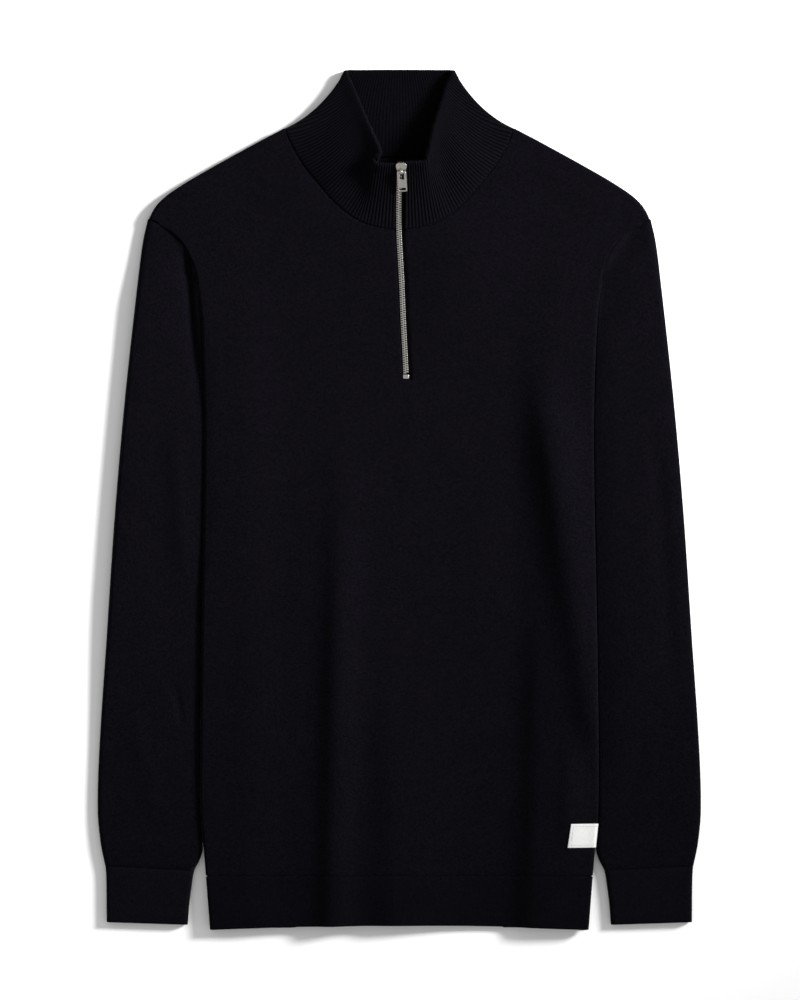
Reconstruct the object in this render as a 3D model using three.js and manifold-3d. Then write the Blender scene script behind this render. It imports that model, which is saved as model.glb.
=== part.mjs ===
// A quarter zip sweater that lies flat on its back, its sides folded under and its sleeves laid beside it.
// Millimetres: +Z up, +Y towards the neck, +X the wearer's left, with the origin on the surface below its middle.
import * as THREE from "three";
import Module from "manifold-3d";
import { mergeVertices } from "three/addons/utils/BufferGeometryUtils.js";

const wasm = await Module();
wasm.setup();
const { clamp, lerp, smoothstep, degToRad } = THREE.MathUtils;

// Cloth sizes
const WALL = 2;
const COLLAR_WALL = 3;
const SEAM_GAP = 0.3;
const LOW_TOP = 6.4; // height of the front's outer face over the middle of the body
const HIGH_TOP = 10.4; // and over the tucked sides, the shoulders and the neckline
const LEAST_TOP = 4.9; // and at the bottom of the deepest fold
const TUCK_WIDTH = 78; // how far the folded sides reach in under the front
const TUCK_FLAT = 32;

// Seams and ends, along the length
const HEM_SEAM_Y = -330.7;
const HEM_END_Y = -374.3;
const HEM_CORNER_DROP = 3.7;
const UNDERARM_Y = 194;
const ARMHOLE_TIP_Y = 246;
const NECK_POINT = { x: 101.3, y: 325.6 };
const BACK_NECK_DROP = 25.2;
const COLLAR_TOP_Y = 378;

// The body's edge: side fold, armhole seam and shoulder, as half widths
const SIDE_FOLD = table("y x", [
  [-378, 166],
  [-330, 170],
  [-306, 172],
  [-276, 174.7],
  [-232, 175.1],
  [-120, 173.8],
  [14, 171.3],
  [81, 171.2],
  [158, 174.2],
  [194, 178.6],
]);
const ARMHOLE = table("y x", [
  [194, 178.6],
  [213, 183],
  [233, 197.5],
  [246, 220.5],
]);
const SHOULDER = table("y x", [
  [246, 220.5],
  [256.5, 214.9],
  [263.6, 208.6],
  [270.6, 199.8],
  [284.7, 177.2],
  [312.8, 126.6],
  [326, 101.5],
]);
const NECKLINE = table("x y", [
  [0, 236.4],
  [16, 238.2],
  [33.4, 243.5],
  [46.6, 251.6],
  [59.4, 263],
  [72.2, 277.9],
  [83.6, 291.9],
  [93.3, 307.8],
  [NECK_POINT.x, NECK_POINT.y],
]);

// Sleeve edges, as distances from the middle line
const SLEEVE_OUTER = table("y x", [
  [-372, 257.3],
  [-333, 257.7],
  [-322.5, 258.4],
  [-317, 259.7],
  [-301, 262.8],
  [-273, 265.2],
  [-220, 263.8],
  [-115, 256.9],
  [-9, 249.8],
  [96, 240.5],
  [202, 228.5],
  [228, 224.9],
  [246, 220.8],
]);
const SLEEVE_TUCK = 1.2; // how far the sleeve's inner edge is drawn in under the body's turned edge
const SLEEVE_INNER = table("y x", [
  [-374, 186],
  [-354, 184.4],
  [-338, 182.3],
  [-326, 180.2],
  [-317, 175.6],
  [-306, 172.8],
  [-276, 175.4],
  [-232, 175.8],
  [-120, 174.5],
  [14, 172],
  [81, 171.9],
  [158, 174.9],
  [194, 179.2],
]);

// Raised and sunk folds: top and lower end of each line, half width, lift, and how long each end fades
const BODY_FOLDS = table("topX topY lowX lowY width lift fadeTop fadeLow", [
  [-44, 70, -44, -400, 11, 3.8, 380, 1],
  [-66, 40, -77, -400, 13, -1.2, 200, 1],
  [-24, -120, -18, -400, 10, -1.2, 160, 1],
  [106, 120, 153, -215, 10, -2, 90, 80],
  [132, 60, 168, -190, 10, 1, 80, 80],
  [112, -40, 103, -400, 9, -2.2, 130, 1],
  [125, -40, 120, -400, 8, 1.6, 130, 1],
  [142, -215, 142, -330, 7, -1, 40, 40],
]);
const SLEEVE_FOLDS = table("side topX topY lowX lowY width lift fadeTop fadeLow", [
  [-1, 204, 95, 193, -70, 8, -1.2, 60, 60],
  [-1, 191, 95, 182, -70, 8, 0.8, 60, 60],
  [-1, 198, -150, 189, -215, 5, -1, 25, 30],
  [1, 182, 210, 180, -120, 7, -1.2, 90, 90],
  [1, 226, 60, 242, -190, 9, -1.4, 60, 80],
  [1, 207, 90, 209, -190, 10, 0.7, 60, 80],
]);

// Zip line: its place across the body at each height, and the slit's edges beside it
const ZIP_LINE = table("y x", [
  [100, 6.2],
  [123, 5.2],
  [158, 3.4],
  [193, 1.9],
  [220, 0.4],
  [236, -0.4],
  [267, -0.4],
  [294, 0.6],
]);
const SLIT_LEFT = 3.2;
const SLIT_RIGHT = 4.9;
const SLIT_END_Y = 105.4;
const TEETH_HALF = 2.2;
const TEETH_RISE = 0.2;
const TEETH_DEPTH = 2;
const TAPE_DEPTH = 2.35;
const TAPE_THICK = 0.7;
const TAPE_HALF = 10;
const TAPE_CLEAR = 0.9;
const ZIP_MIDDLE_GAP = 0.15;

// Collar: the top edge of its front half on each side, from the zip to the fold
const COLLAR_TOP_LEFT = table("x y z", [
  [2.6, 293, 30],
  [17.6, 293.4, 30.4],
  [21.8, 295.6, 30.2],
  [22.4, 299.2, 29.6],
  [18, 305.6, 28],
  [19.8, 313, 25.8],
  [25.8, 327.1, 21.4],
  [31.9, 342.1, 17],
  [39.4, 360.6, 12.4],
  [47.2, COLLAR_TOP_Y, 9.6],
]);
const COLLAR_TOP_RIGHT = table("x y z", [
  [5.5, 294.8, 30],
  [20.5, 295.4, 30.4],
  [24.6, 297.4, 30],
  [25.6, 302, 29],
  [27.7, 310.4, 26.8],
  [29.4, 322.7, 23],
  [32.3, 335, 19.2],
  [36.9, 350, 15],
  [41.6, 365.3, 11.6],
  [47.6, COLLAR_TOP_Y, 9.6],
]);
const RIBS_A_SIDE = 78;
const RIB_HEIGHT = 0.5;
const COLLAR_FOLD = 0.08; // share of the half ring that the turn at each side takes
const COLLAR_TURN = 4.6;
const COLLAR_DIP = { x: -6.2, y: -11.8 }; // how far the side's silhouette is drawn in half way up
const COLLAR_EARLY_RISE = 0.17;
const COLLAR_ROWS = [0, 0.22, 0.45, 0.7, 0.95, 1];

// Metal pieces
const SLIDER_Y = 290.6;
const PULL_PIVOT = { y: -2.6, z: 3.9 };
const PULL_DROOP = 1.2;

const JERSEY = cloth("#131217");
const RIB = cloth("#100f14");
const BAND = cloth("#0e0d11");
const TAPE = cloth("#0b0b0d");
const LABEL = cloth("#dbdcd9");
const METAL = new THREE.MeshStandardMaterial({ color: "#beb8b2", roughness: 0.32, metalness: 1 });

function cloth(color) {
  return new THREE.MeshStandardMaterial({ color, roughness: 0.95, metalness: 0 });
}

function table(columns, rows) {
  const names = columns.split(" ");
  return rows.map((row) => Object.fromEntries(names.map((name, i) => [name, row[i]])));
}

// A smooth curve through a table's rows: the value column as a function of the key column.
function spline(rows, key, value) {
  const slopes = rows.map((row, i) => {
    const before = rows[Math.max(i - 1, 0)];
    const after = rows[Math.min(i + 1, rows.length - 1)];
    return (after[value] - before[value]) / (after[key] - before[key]);
  });
  return (at) => {
    const place = clamp(at, rows[0][key], rows.at(-1)[key]);
    let i = 0;
    while (i < rows.length - 2 && place > rows[i + 1][key]) i += 1;
    const span = rows[i + 1][key] - rows[i][key];
    const t = (place - rows[i][key]) / span;
    const rise = t * t * (3 - 2 * t);
    const bend = t * (1 - t);
    const ends = lerp(rows[i][value], rows[i + 1][value], rise);
    return ends + span * bend * ((1 - t) * slopes[i] - t * slopes[i + 1]);
  };
}

// A smooth curve in space through a table's rows, with t from 0 to 1 by distance between the rows.
function pathThrough(rows) {
  const points = rows.map((row) => new THREE.Vector3(row.x, row.y, row.z ?? 0));
  let length = 0;
  const keyed = points.map((point, i) => {
    if (i > 0) length += point.distanceTo(points[i - 1]);
    return { at: length, x: point.x, y: point.y, z: point.z };
  });
  const [x, y, z] = ["x", "y", "z"].map((axis) => spline(keyed, "at", axis));
  const place = (t) => new THREE.Vector3(x(t * length), y(t * length), z(t * length));
  return { place, length };
}

const sideFold = spline(SIDE_FOLD, "y", "x");
const armhole = spline(ARMHOLE, "y", "x");
const shoulder = spline(SHOULDER, "y", "x");
const neckline = spline(NECKLINE, "x", "y");
const sleeveOuter = spline(SLEEVE_OUTER, "y", "x");
const sleeveInner = spline(SLEEVE_INNER, "y", "x");
const zipLine = spline(ZIP_LINE, "y", "x");

function bodyEdge(y) {
  if (y < UNDERARM_Y) return sideFold(y);
  return y < ARMHOLE_TIP_Y ? armhole(y) : shoulder(y);
}

function foldLift(folds, x, y) {
  let lift = 0;
  for (const fold of folds) {
    const down = (fold.topY - y) / (fold.topY - fold.lowY);
    const across = (x - lerp(fold.topX, fold.lowX, down)) / fold.width;
    const start = smoothstep(fold.topY - y, 0, fold.fadeTop);
    const end = smoothstep(y - fold.lowY, 0, fold.fadeLow);
    lift += fold.lift * start * end * Math.exp(-across * across);
  }
  return lift;
}

// The front's middle rises by a share between two heights, and in full round the neck's oval.
const CHEST_RISE = { from: 110, to: 240, share: 0.7 };
const NECK_OVAL = { halfWidth: 101, halfHeight: 86, middle: 322, reach: 0.5 };

// The front's outer face: low over the middle, high over the tucked sides, the shoulders and the neckline.
function frontHeight(x, y) {
  const side = 1 - smoothstep(bodyEdge(y) - Math.abs(x), TUCK_FLAT, TUCK_WIDTH);
  const chest = CHEST_RISE.share * smoothstep(y, CHEST_RISE.from, CHEST_RISE.to);
  const { halfWidth, halfHeight, middle, reach } = NECK_OVAL;
  const neck = 1 - smoothstep(Math.hypot(x / halfWidth, (y - middle) / halfHeight) - 1, 0, reach);
  const flat = (1 - side) * (1 - chest) * (1 - neck);
  return Math.max(HIGH_TOP - (HIGH_TOP - LOW_TOP) * flat + foldLift(BODY_FOLDS, x, y), LEAST_TOP);
}

// Walls. A grid is a list of rows of points, and faces out where its columns run to the right of its rows.

class Skin {
  constructor() {
    this.points = [];
    this.triangles = [];
  }

  addGrid(grid) {
    return grid.map((row) => row.map((point) => this.points.push(point) - 1));
  }

  face(a, b, c, inward) {
    this.triangles.push(inward ? [a, c, b] : [a, b, c]);
  }

  cover(rows, { inward = false, closed = false } = {}) {
    for (let r = 0; r + 1 < rows.length; r += 1) {
      const count = rows[r].length;
      for (let c = 0; c < (closed ? count : count - 1); c += 1) {
        const next = (c + 1) % count;
        this.face(rows[r][c], rows[r][next], rows[r + 1][next], inward);
        this.face(rows[r][c], rows[r + 1][next], rows[r + 1][c], inward);
      }
    }
  }

  // A strip between two edges that may have different numbers of points, matched by their keys.
  rim(outer, inner, outerKeys, innerKeys) {
    let [i, j] = [0, 0];
    while (i + 1 < outer.length || j + 1 < inner.length) {
      const outerNext = i + 1 < outer.length ? outerKeys[i + 1] : Infinity;
      const innerNext = j + 1 < inner.length ? innerKeys[j + 1] : Infinity;
      if (outerNext <= innerNext) {
        this.face(outer[i + 1], outer[i], inner[j]);
        i += 1;
      } else {
        this.face(outer[i], inner[j], inner[j + 1]);
        j += 1;
      }
    }
  }

  geometry() {
    const position = this.triangles.flatMap((corners) => corners.flatMap((i) => this.points[i].toArray()));
    const made = new THREE.BufferGeometry();
    made.setAttribute("position", new THREE.Float32BufferAttribute(position, 3));
    made.computeVertexNormals();
    return made;
  }
}

const evenKeys = (list) => list.map((_, i) => i / (list.length - 1));
const reversed = (list) => [...list].reverse();

// A closed wall between an outer and an inner grid, with a rim along each of its four edges.
function wall(outer, inner, outerKeys = evenKeys(outer[0]), innerKeys = evenKeys(inner[0])) {
  const skin = new Skin();
  const out = skin.addGrid(outer);
  const into = skin.addGrid(inner);
  skin.cover(out);
  skin.cover(into, { inward: true });
  const flip = (keys) => reversed(keys).map((key) => 1 - key);
  const rowKeys = evenKeys(out);
  const column = (grid, c) => grid.map((row) => row.at(c));
  skin.rim(out[0], into[0], outerKeys, innerKeys);
  skin.rim(column(out, -1), column(into, -1), rowKeys, rowKeys);
  skin.rim(reversed(out.at(-1)), reversed(into.at(-1)), flip(outerKeys), flip(innerKeys));
  skin.rim(reversed(column(out, 0)), reversed(column(into, 0)), rowKeys, rowKeys);
  return skin.geometry();
}

// A closed wall between outer and inner rings, open at both ends.
function tube(outer, inner) {
  const skin = new Skin();
  const out = skin.addGrid(outer);
  const into = skin.addGrid(inner);
  skin.cover(out, { closed: true });
  skin.cover(into, { inward: true, closed: true });
  const close = (ring) => [...ring, ring[0]];
  const keys = evenKeys(close(out[0]));
  skin.rim(close(out[0]), close(into[0]), keys, keys);
  skin.rim(reversed(close(out.at(-1))), reversed(close(into.at(-1))), keys, keys);
  return skin.geometry();
}

// The outward direction at each point of a grid, from its neighbours.
function outwardOf(grid, closed = false) {
  return grid.map((row, r) =>
    row.map((_, c) => {
      const count = row.length;
      const right = closed ? (c + 1) % count : Math.min(c + 1, count - 1);
      const left = closed ? (c + count - 1) % count : Math.max(c - 1, 0);
      const across = new THREE.Vector3().subVectors(row[right], row[left]);
      const above = grid[Math.min(r + 1, grid.length - 1)][c];
      const below = grid[Math.max(r - 1, 0)][c];
      return across.cross(new THREE.Vector3().subVectors(above, below)).normalize();
    }),
  );
}

function moved(grid, distance, closed = false) {
  const outward = outwardOf(grid, closed);
  return grid.map((row, r) => row.map((point, c) => point.clone().addScaledVector(outward[r][c], distance)));
}

function toSolid(geometry) {
  const plain = geometry.index ? geometry.toNonIndexed() : geometry.clone();
  plain.deleteAttribute("normal");
  plain.deleteAttribute("uv");
  const merged = mergeVertices(plain, 1e-4);
  const vertProperties = merged.attributes.position.array;
  const triVerts = new Uint32Array(merged.index.array);
  return new wasm.Manifold(new wasm.Mesh({ numProp: 3, vertProperties, triVerts }));
}

function fromSolid(solid) {
  const mesh = solid.getMesh();
  const made = new THREE.BufferGeometry();
  made.setAttribute("position", new THREE.Float32BufferAttribute(mesh.vertProperties, 3));
  made.setIndex([...mesh.triVerts]);
  made.computeVertexNormals();
  return made;
}

// An outline in the XY plane, given as [x, y] points, made into a plate between two heights.
function plate(outline, low, high, holes = []) {
  const shape = new THREE.Shape(outline.map(([x, y]) => new THREE.Vector2(x, y)));
  for (const hole of holes) shape.holes.push(new THREE.Path(hole.map(([x, y]) => new THREE.Vector2(x, y))));
  return new THREE.ExtrudeGeometry(shape, { depth: high - low, bevelEnabled: false }).translate(0, 0, low);
}

const sweater = new THREE.Group();

function add(name, geometry, material, place) {
  const mesh = new THREE.Mesh(geometry, material);
  mesh.name = name;
  if (place) mesh.applyMatrix4(place);
  sweater.add(mesh);
}

// Front panel and front hem band

const ROLL = 3.1; // half the width of the turn at an edge
const FULL_TURN = 240; // degrees of turn, of which those past 180 run back in along the underside
const CURL = 5;
const UNDER_SIDE = 4.6; // height of the turned edge's underside over the tucked sides
const UNDER_SHOULDER = 2.4;
const ROLL_STEPS = 6;
const ROLL_STRETCH = 2.1; // the most that a slanted edge lengthens the turn across
const FRONT_COLUMNS = 23;
const EDGE_TURN = table("y turn", [
  [-400, FULL_TURN],
  [184, FULL_TURN],
  [192, 150],
  [200, 50],
  [210, 24],
  [241, 24],
  [250, FULL_TURN],
  [330, FULL_TURN],
]);
const BODY_ROWS = [-330.7, -300, -265, -225, -180, -135, -90, -45, 0, 45, 90, 125, 155, 174, 184];
const ARMHOLE_ROWS = [192, 200, 209, 218, 227, 235, 241];
const SHOULDER_ROWS = [247, 252, 259, 267, 276, 288, 301, 312, 320];
const HEM_ROWS = [0, 0.34, 0.67, 1];

function turnAt(y) {
  let i = 0;
  while (i < EDGE_TURN.length - 2 && y > EDGE_TURN[i + 1].y) i += 1;
  const [a, b] = [EDGE_TURN[i], EDGE_TURN[i + 1]];
  return lerp(a.turn, b.turn, clamp((y - a.y) / (b.y - a.y), 0, 1));
}

// The turn of the front's edge at one height: where it starts, its size and how far it goes.
function edgeRoll(y) {
  const edge = bodyEdge(y) - (y > UNDERARM_Y && y < ARMHOLE_TIP_Y ? SEAM_GAP : 0);
  const slope = bodyEdge(y + 0.5) - bodyEdge(y - 0.5);
  const reach = ROLL * Math.min(Math.hypot(1, slope), ROLL_STRETCH);
  const turn = turnAt(y);
  const start = edge - reach * Math.sin(degToRad(Math.min(turn, 90)));
  const under = lerp(UNDER_SIDE, UNDER_SHOULDER, smoothstep(y, UNDERARM_Y, ARMHOLE_TIP_Y));
  return { start, reach, turn, under };
}

// A point on the turned edge, with the angle measured from straight up.
function rollPoint(side, y, angle) {
  const { start, reach, under } = edgeRoll(y);
  const top = frontHeight(side * start, y);
  const half = (top - under) / 2;
  const bend = degToRad(Math.min(angle, 180));
  const back = (Math.max(angle - 180, 0) / (FULL_TURN - 180)) * CURL;
  const x = start + reach * Math.sin(bend) - back;
  return new THREE.Vector3(side * x, y, top - half * (1 - Math.cos(bend)));
}

function frontRow(y, hem = 0) {
  const { start, turn } = edgeRoll(y);
  const drop = (x) => y - hem * HEM_CORNER_DROP * (x / start) ** 2;
  const rolled = (side, i) => {
    const point = rollPoint(side, y, (turn * i) / ROLL_STEPS);
    point.y = drop(start);
    return point;
  };
  const steps = Array.from({ length: ROLL_STEPS }, (_, i) => i + 1);
  const row = reversed(steps).map((i) => rolled(-1, i));
  for (let c = 0; c < FRONT_COLUMNS; c += 1) {
    const x = lerp(-start, start, c / (FRONT_COLUMNS - 1));
    row.push(new THREE.Vector3(x, drop(x), frontHeight(x, y)));
  }
  row.push(...steps.map((i) => rolled(1, i)));
  return row;
}

const SLIT_TOP_Y = 236; // where the slit meets the neckline
const CUT = { low: -5, high: 40, past: 30, steps: 40 }; // the cutter's reach below, above and past the cloth

// The neckline and the zip slit, as one keyhole that is cut out of the front.
function keyholeCutter() {
  const curve = Array.from({ length: CUT.steps + 1 }, (_, i) => {
    const x = lerp(0, NECK_POINT.x, i / CUT.steps);
    return [x + SEAM_GAP * (i / CUT.steps), neckline(x)];
  });
  const slitYs = [SLIT_END_Y, 125, 150, 175, 200, 222, SLIT_TOP_Y];
  const past = NECK_POINT.y + CUT.past;
  const right = curve.filter(([x]) => x > zipLine(SLIT_TOP_Y) + SLIT_RIGHT);
  const left = curve.filter(([x]) => x > SLIT_LEFT - zipLine(SLIT_TOP_Y));
  const outline = [
    ...reversed(slitYs).map((y) => [zipLine(y) - SLIT_LEFT, y]),
    ...slitYs.map((y) => [zipLine(y) + SLIT_RIGHT, y]),
    ...right,
    [NECK_POINT.x + SEAM_GAP, past],
    [-NECK_POINT.x - SEAM_GAP, past],
    ...reversed(left).map(([x, y]) => [-x, y]),
  ];
  return plate(outline, CUT.low, CUT.high);
}

function frontPanel() {
  const ys = [...BODY_ROWS, ...ARMHOLE_ROWS, ...SHOULDER_ROWS];
  ys[0] += SEAM_GAP / 2;
  const rows = ys.map((y) => frontRow(y));
  const whole = toSolid(wall(rows, moved(rows, -WALL)));
  return fromSolid(whole.subtract(toSolid(keyholeCutter())));
}

function frontHem() {
  const rows = reversed(HEM_ROWS).map((t) => frontRow(lerp(HEM_SEAM_Y - SEAM_GAP / 2, HEM_END_Y, t), t));
  return wall(rows, moved(rows, -WALL));
}

// Back panel and back hem band, flat on the surface

const BACK_INSET = 1;

function backNeckY(x) {
  const share = Math.min(Math.abs(x) / NECK_POINT.x, 1);
  return NECK_POINT.y - BACK_NECK_DROP * Math.sqrt(1 - share * share);
}

function backPanel() {
  const ys = [...BODY_ROWS, ...ARMHOLE_ROWS, ...SHOULDER_ROWS];
  ys[0] += SEAM_GAP / 2;
  const side = ys.map((y) => {
    const inset = y > UNDERARM_Y && y < ARMHOLE_TIP_Y ? SEAM_GAP : BACK_INSET;
    return [bodyEdge(y) - inset, y];
  });
  const neckSteps = 24;
  const neck = Array.from({ length: neckSteps + 1 }, (_, i) => {
    const x = NECK_POINT.x * Math.cos((Math.PI * i) / neckSteps);
    return [x, backNeckY(x) - SEAM_GAP];
  });
  return plate([...side, ...neck, ...reversed(side).map(([x, y]) => [-x, y])], 0, WALL);
}

function backHem() {
  const side = HEM_ROWS.map((t) => {
    const y = lerp(HEM_SEAM_Y - SEAM_GAP / 2, HEM_END_Y, t);
    return [bodyEdge(y) - BACK_INSET, y - t * HEM_CORNER_DROP];
  });
  const [cornerX] = side.at(-1);
  const steps = 12;
  const end = Array.from({ length: steps - 1 }, (_, i) => {
    const x = lerp(cornerX, -cornerX, (i + 1) / steps);
    return [x, HEM_END_Y - HEM_CORNER_DROP * (x / cornerX) ** 2];
  });
  return plate([...side, ...end, ...reversed(side).map(([x, y]) => [-x, y])], 0, WALL);
}

// The folded sides between front and back: a thin tongue under the front's turned edge, thicker further in

const LAYER_ROWS = [-376.4, -350, -300, -250, -200, -150, -100, -50, 0, 50, 100, 145, 182];
const LAYER_COLUMNS = table("in thick", [
  [1, 0.7],
  [1.6, 1.6],
  [3.5, 2],
  [9.6, 2],
  [12.2, 9],
  [20, 9],
  [28, 9],
  [36, 9],
  [44, 9],
  [52, 9],
  [60, 9],
  [68, 9],
  [75, 1],
]);
const LAYER_CLEAR = 0.8;
const LAYER_LEAST = 0.4;
const LAYER_REACHES = [-9, -4.5, 0, 4.5, 9]; // the front's facets are coarse, so its lowest point nearby counts

function sideLayers(side) {
  const bottom = WALL + SEAM_GAP;
  const grid = (raised) =>
    LAYER_ROWS.map((y) => {
      const columns = side > 0 ? reversed(LAYER_COLUMNS) : LAYER_COLUMNS;
      return columns.map((column) => {
        const x = side * (bodyEdge(y) - column.in);
        const above = LAYER_REACHES.map((reach) => frontHeight(x + reach, y));
        const room = Math.min(...above) - WALL - LAYER_CLEAR - bottom;
        const thick = Math.max(Math.min(column.thick, room), LAYER_LEAST);
        return new THREE.Vector3(x, y, bottom + (raised ? thick : 0));
      });
    });
  return wall(grid(true), grid(false));
}

// Sleeves and cuffs, as flattened tubes

const SLEEVE_HIGH = 7.8;
const ARMHOLE_HIGH = 9.8; // the sleeve is fuller where it joins the shoulder
const SLEEVE_TURN = 4.2;
const SLEEVE_ROWS = [0, 0.04, 0.09, 0.16, 0.26, 0.38, 0.5, 0.62, 0.74, 0.84, 0.92, 0.96, 1];
const CUFF_ROWS = [0, 0.3, 1];
const TOP_COLUMNS = 9;
const BOTTOM_COLUMNS = 4;
const TURN_ANGLES = [30, 60, 90, 120, 150];
const SLEEVE_ENDS = { innerTop: UNDERARM_Y, innerLow: -326.1, outerTop: ARMHOLE_TIP_Y - 0.4, outerLow: -322.3 };
const CUFF_ENDS = { innerTop: -326.4, innerLow: -373.6, outerTop: -322.6, outerLow: -371.3 };
const ARMHOLE_BOW_SHARE = 0.22; // share of the sleeve over which the armhole's bow dies out

// The tuck of a sleeve's inner edge at a height: none at the underarm and none below the body's turned edge.
function tuckAt(y) {
  return SLEEVE_TUCK * smoothstep(UNDERARM_Y - y, 0, 20) * smoothstep(y, -306, -270);
}

// One ring of a flattened tube: over the top from the inner to the outer edge, and back along the surface.
function sleeveRing(side, t, ends, bowed) {
  const innerY = lerp(ends.innerTop, ends.innerLow, t);
  const outerY = lerp(ends.outerTop, ends.outerLow, t);
  const inner = new THREE.Vector3(sleeveInner(innerY) - tuckAt(innerY), innerY, 0);
  const outer = new THREE.Vector3(sleeveOuter(outerY), outerY, 0);
  const length = inner.distanceTo(outer);
  const bow = bowed ? 1 - smoothstep(t, 0, ARMHOLE_BOW_SHARE) : 0;
  const high = lerp(SLEEVE_HIGH, ARMHOLE_HIGH, bow);
  const folds = SLEEVE_FOLDS.filter((fold) => fold.side === side);
  const place = (along, z) => {
    const share = along / length;
    const point = new THREE.Vector3().lerpVectors(inner, outer, share);
    const across = clamp(share, 0, 1);
    const seam = armhole(lerp(UNDERARM_Y, ARMHOLE_TIP_Y, across));
    point.x += bow * (seam + SEAM_GAP - lerp(SIDE_FOLD.at(-1).x, SHOULDER[0].x, across));
    const folded = foldLift(folds, point.x, point.y) * (z / high);
    return new THREE.Vector3(side * point.x, point.y, z + folded);
  };
  const spread = (count, from, to) => Array.from({ length: count }, (_, i) => lerp(from, to, i / (count - 1)));
  const turned = (angle) => {
    const bend = degToRad(angle);
    return [SLEEVE_TURN * (1 - Math.sin(bend)), (high * (1 + Math.cos(bend))) / 2];
  };
  const ring = [
    ...spread(TOP_COLUMNS, SLEEVE_TURN, length - SLEEVE_TURN).map((along) => place(along, high)),
    ...TURN_ANGLES.map(turned).map(([inset, z]) => place(length - inset, z)),
    ...spread(BOTTOM_COLUMNS, length - SLEEVE_TURN, SLEEVE_TURN).map((along) => place(along, 0)),
    ...reversed(TURN_ANGLES).map(turned).map(([inset, z]) => place(inset, z)),
  ];
  return side > 0 ? ring : reversed(ring);
}

function sleeveTube(side, shares, ends, bowed) {
  const rings = reversed(shares).map((t) => sleeveRing(side, t, ends, bowed));
  return tube(rings, moved(rings, -WALL, true));
}

// Collar

const frontZipZ = (y) => frontHeight(zipLine(y), y);

// The collar's half ring on one side at one of three levels, as a function that runs from 0 at the zip
// through 1 at the side fold to 2 at the middle of the back.
function halfRing(front, back) {
  const foldHeight = front.place(1 - COLLAR_TURN / front.length).z;
  return (at) => {
    const turn = (at - 1 + COLLAR_FOLD) / (2 * COLLAR_FOLD);
    if (turn <= 0) return front.place((at / (1 - COLLAR_FOLD)) * (1 - COLLAR_TURN / front.length));
    const start = COLLAR_TURN / back.length;
    if (turn >= 1) return back.place(lerp(start, 1, (at - 1 - COLLAR_FOLD) / (1 - COLLAR_FOLD)));
    const bend = Math.PI * turn;
    const away = COLLAR_TURN * (1 - Math.sin(bend));
    const point = turn < 0.5 ? front.place(1 - away / front.length) : back.place(away / back.length);
    point.z = (foldHeight * (1 + Math.cos(bend))) / 2;
    return point;
  };
}

const SEAM_STEP = 6; // the least distance from the zip to the seam's next point
const BACK_STEPS = 8;

function collarRings(side) {
  const zipEdge = side > 0 ? SLIT_RIGHT + zipLine(SLIT_TOP_Y) : SLIT_LEFT - zipLine(SLIT_TOP_Y);
  const seam = [{ x: zipEdge, y: neckline(zipEdge) }, ...NECKLINE.filter((row) => row.x > zipEdge + SEAM_STEP)];
  const raised = seam.map(({ x, y }) => ({ x, y: y + SEAM_GAP, z: frontHeight(side * x, y) }));
  const neckAngles = Array.from({ length: BACK_STEPS + 1 }, (_, i) => (Math.PI / 2) * (i / BACK_STEPS));
  const backSeam = neckAngles.map((angle) => {
    const x = NECK_POINT.x * Math.cos(angle);
    return { x, y: backNeckY(x), z: 0 };
  });
  const topTable = side > 0 ? COLLAR_TOP_RIGHT : COLLAR_TOP_LEFT;
  const backTop = [
    { x: topTable.at(-1).x, y: COLLAR_TOP_Y, z: 0 },
    { x: 0, y: COLLAR_TOP_Y, z: 0 },
  ];
  const base = halfRing(pathThrough(raised), pathThrough(backSeam));
  const top = halfRing(pathThrough(topTable), pathThrough(backTop));
  return { base, top };
}

const RING_SAMPLES = 400;

// Distances along a ring, so that ribs can be spread evenly: gives the ring's parameter at a share of its length.
function evenAlong(ring) {
  const rows = [{ share: 0, at: 0 }];
  let last = ring(0);
  let length = 0;
  for (let i = 1; i <= RING_SAMPLES; i += 1) {
    const at = (2 * i) / RING_SAMPLES;
    const point = ring(at);
    length += point.distanceTo(last);
    rows.push({ share: length, at });
    last = point;
  }
  return (share) => {
    const target = clamp(share, 0, 1) * length;
    let i = 0;
    while (i < rows.length - 2 && rows[i + 1].share < target) i += 1;
    const t = (target - rows[i].share) / (rows[i + 1].share - rows[i].share);
    return lerp(rows[i].at, rows[i + 1].at, clamp(t, 0, 1));
  };
}

// A point of the collar's plain outer face, by share of the half ring from the zip and share of its height.
function collarFace(side) {
  const { base, top } = collarRings(side);
  const baseAt = evenAlong(base);
  const topAt = evenAlong(top);
  return (share, height) => {
    const at = lerp(baseAt(share), topAt(share), height);
    const [low, high] = [base(at), top(at)];
    const middle = new THREE.Vector3().lerpVectors(low, high, 0.5);
    const dip = at < 1 ? at * at : (2 - at) ** 2;
    middle.x += COLLAR_DIP.x * dip;
    middle.y += COLLAR_DIP.y * dip;
    middle.z = lerp(low.z, high.z, COLLAR_EARLY_RISE);
    const first = low.lerp(middle, height);
    const second = middle.clone().lerp(high, height);
    const point = first.lerp(second, height);
    point.x *= side;
    return point;
  };
}

// Shares of the ring for a face: two columns a rib where its ribs show, and few where it is plain.
function ribShares(fromRib, toRib, plainStep) {
  const shares = [];
  for (let rib = 0; rib < RIBS_A_SIDE; rib += rib >= fromRib && rib < toRib ? 1 : plainStep) {
    shares.push(rib / RIBS_A_SIDE);
    if (rib >= fromRib && rib < toRib) shares.push((rib + 0.5) / RIBS_A_SIDE);
  }
  return shares;
}

const FRONT_RIBS = [0, 58];
const BACK_RIBS = [42, RIBS_A_SIDE];
const PLAIN_STEP = 3;
const FACE_STEP = { ring: 0.004, height: 0.02 }; // steps over which the face's direction is measured
const TOP_ROUNDING = 0.8;
const FACING_UP = 0.3; // ribs fade out where the face turns away from straight up by more than this

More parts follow.
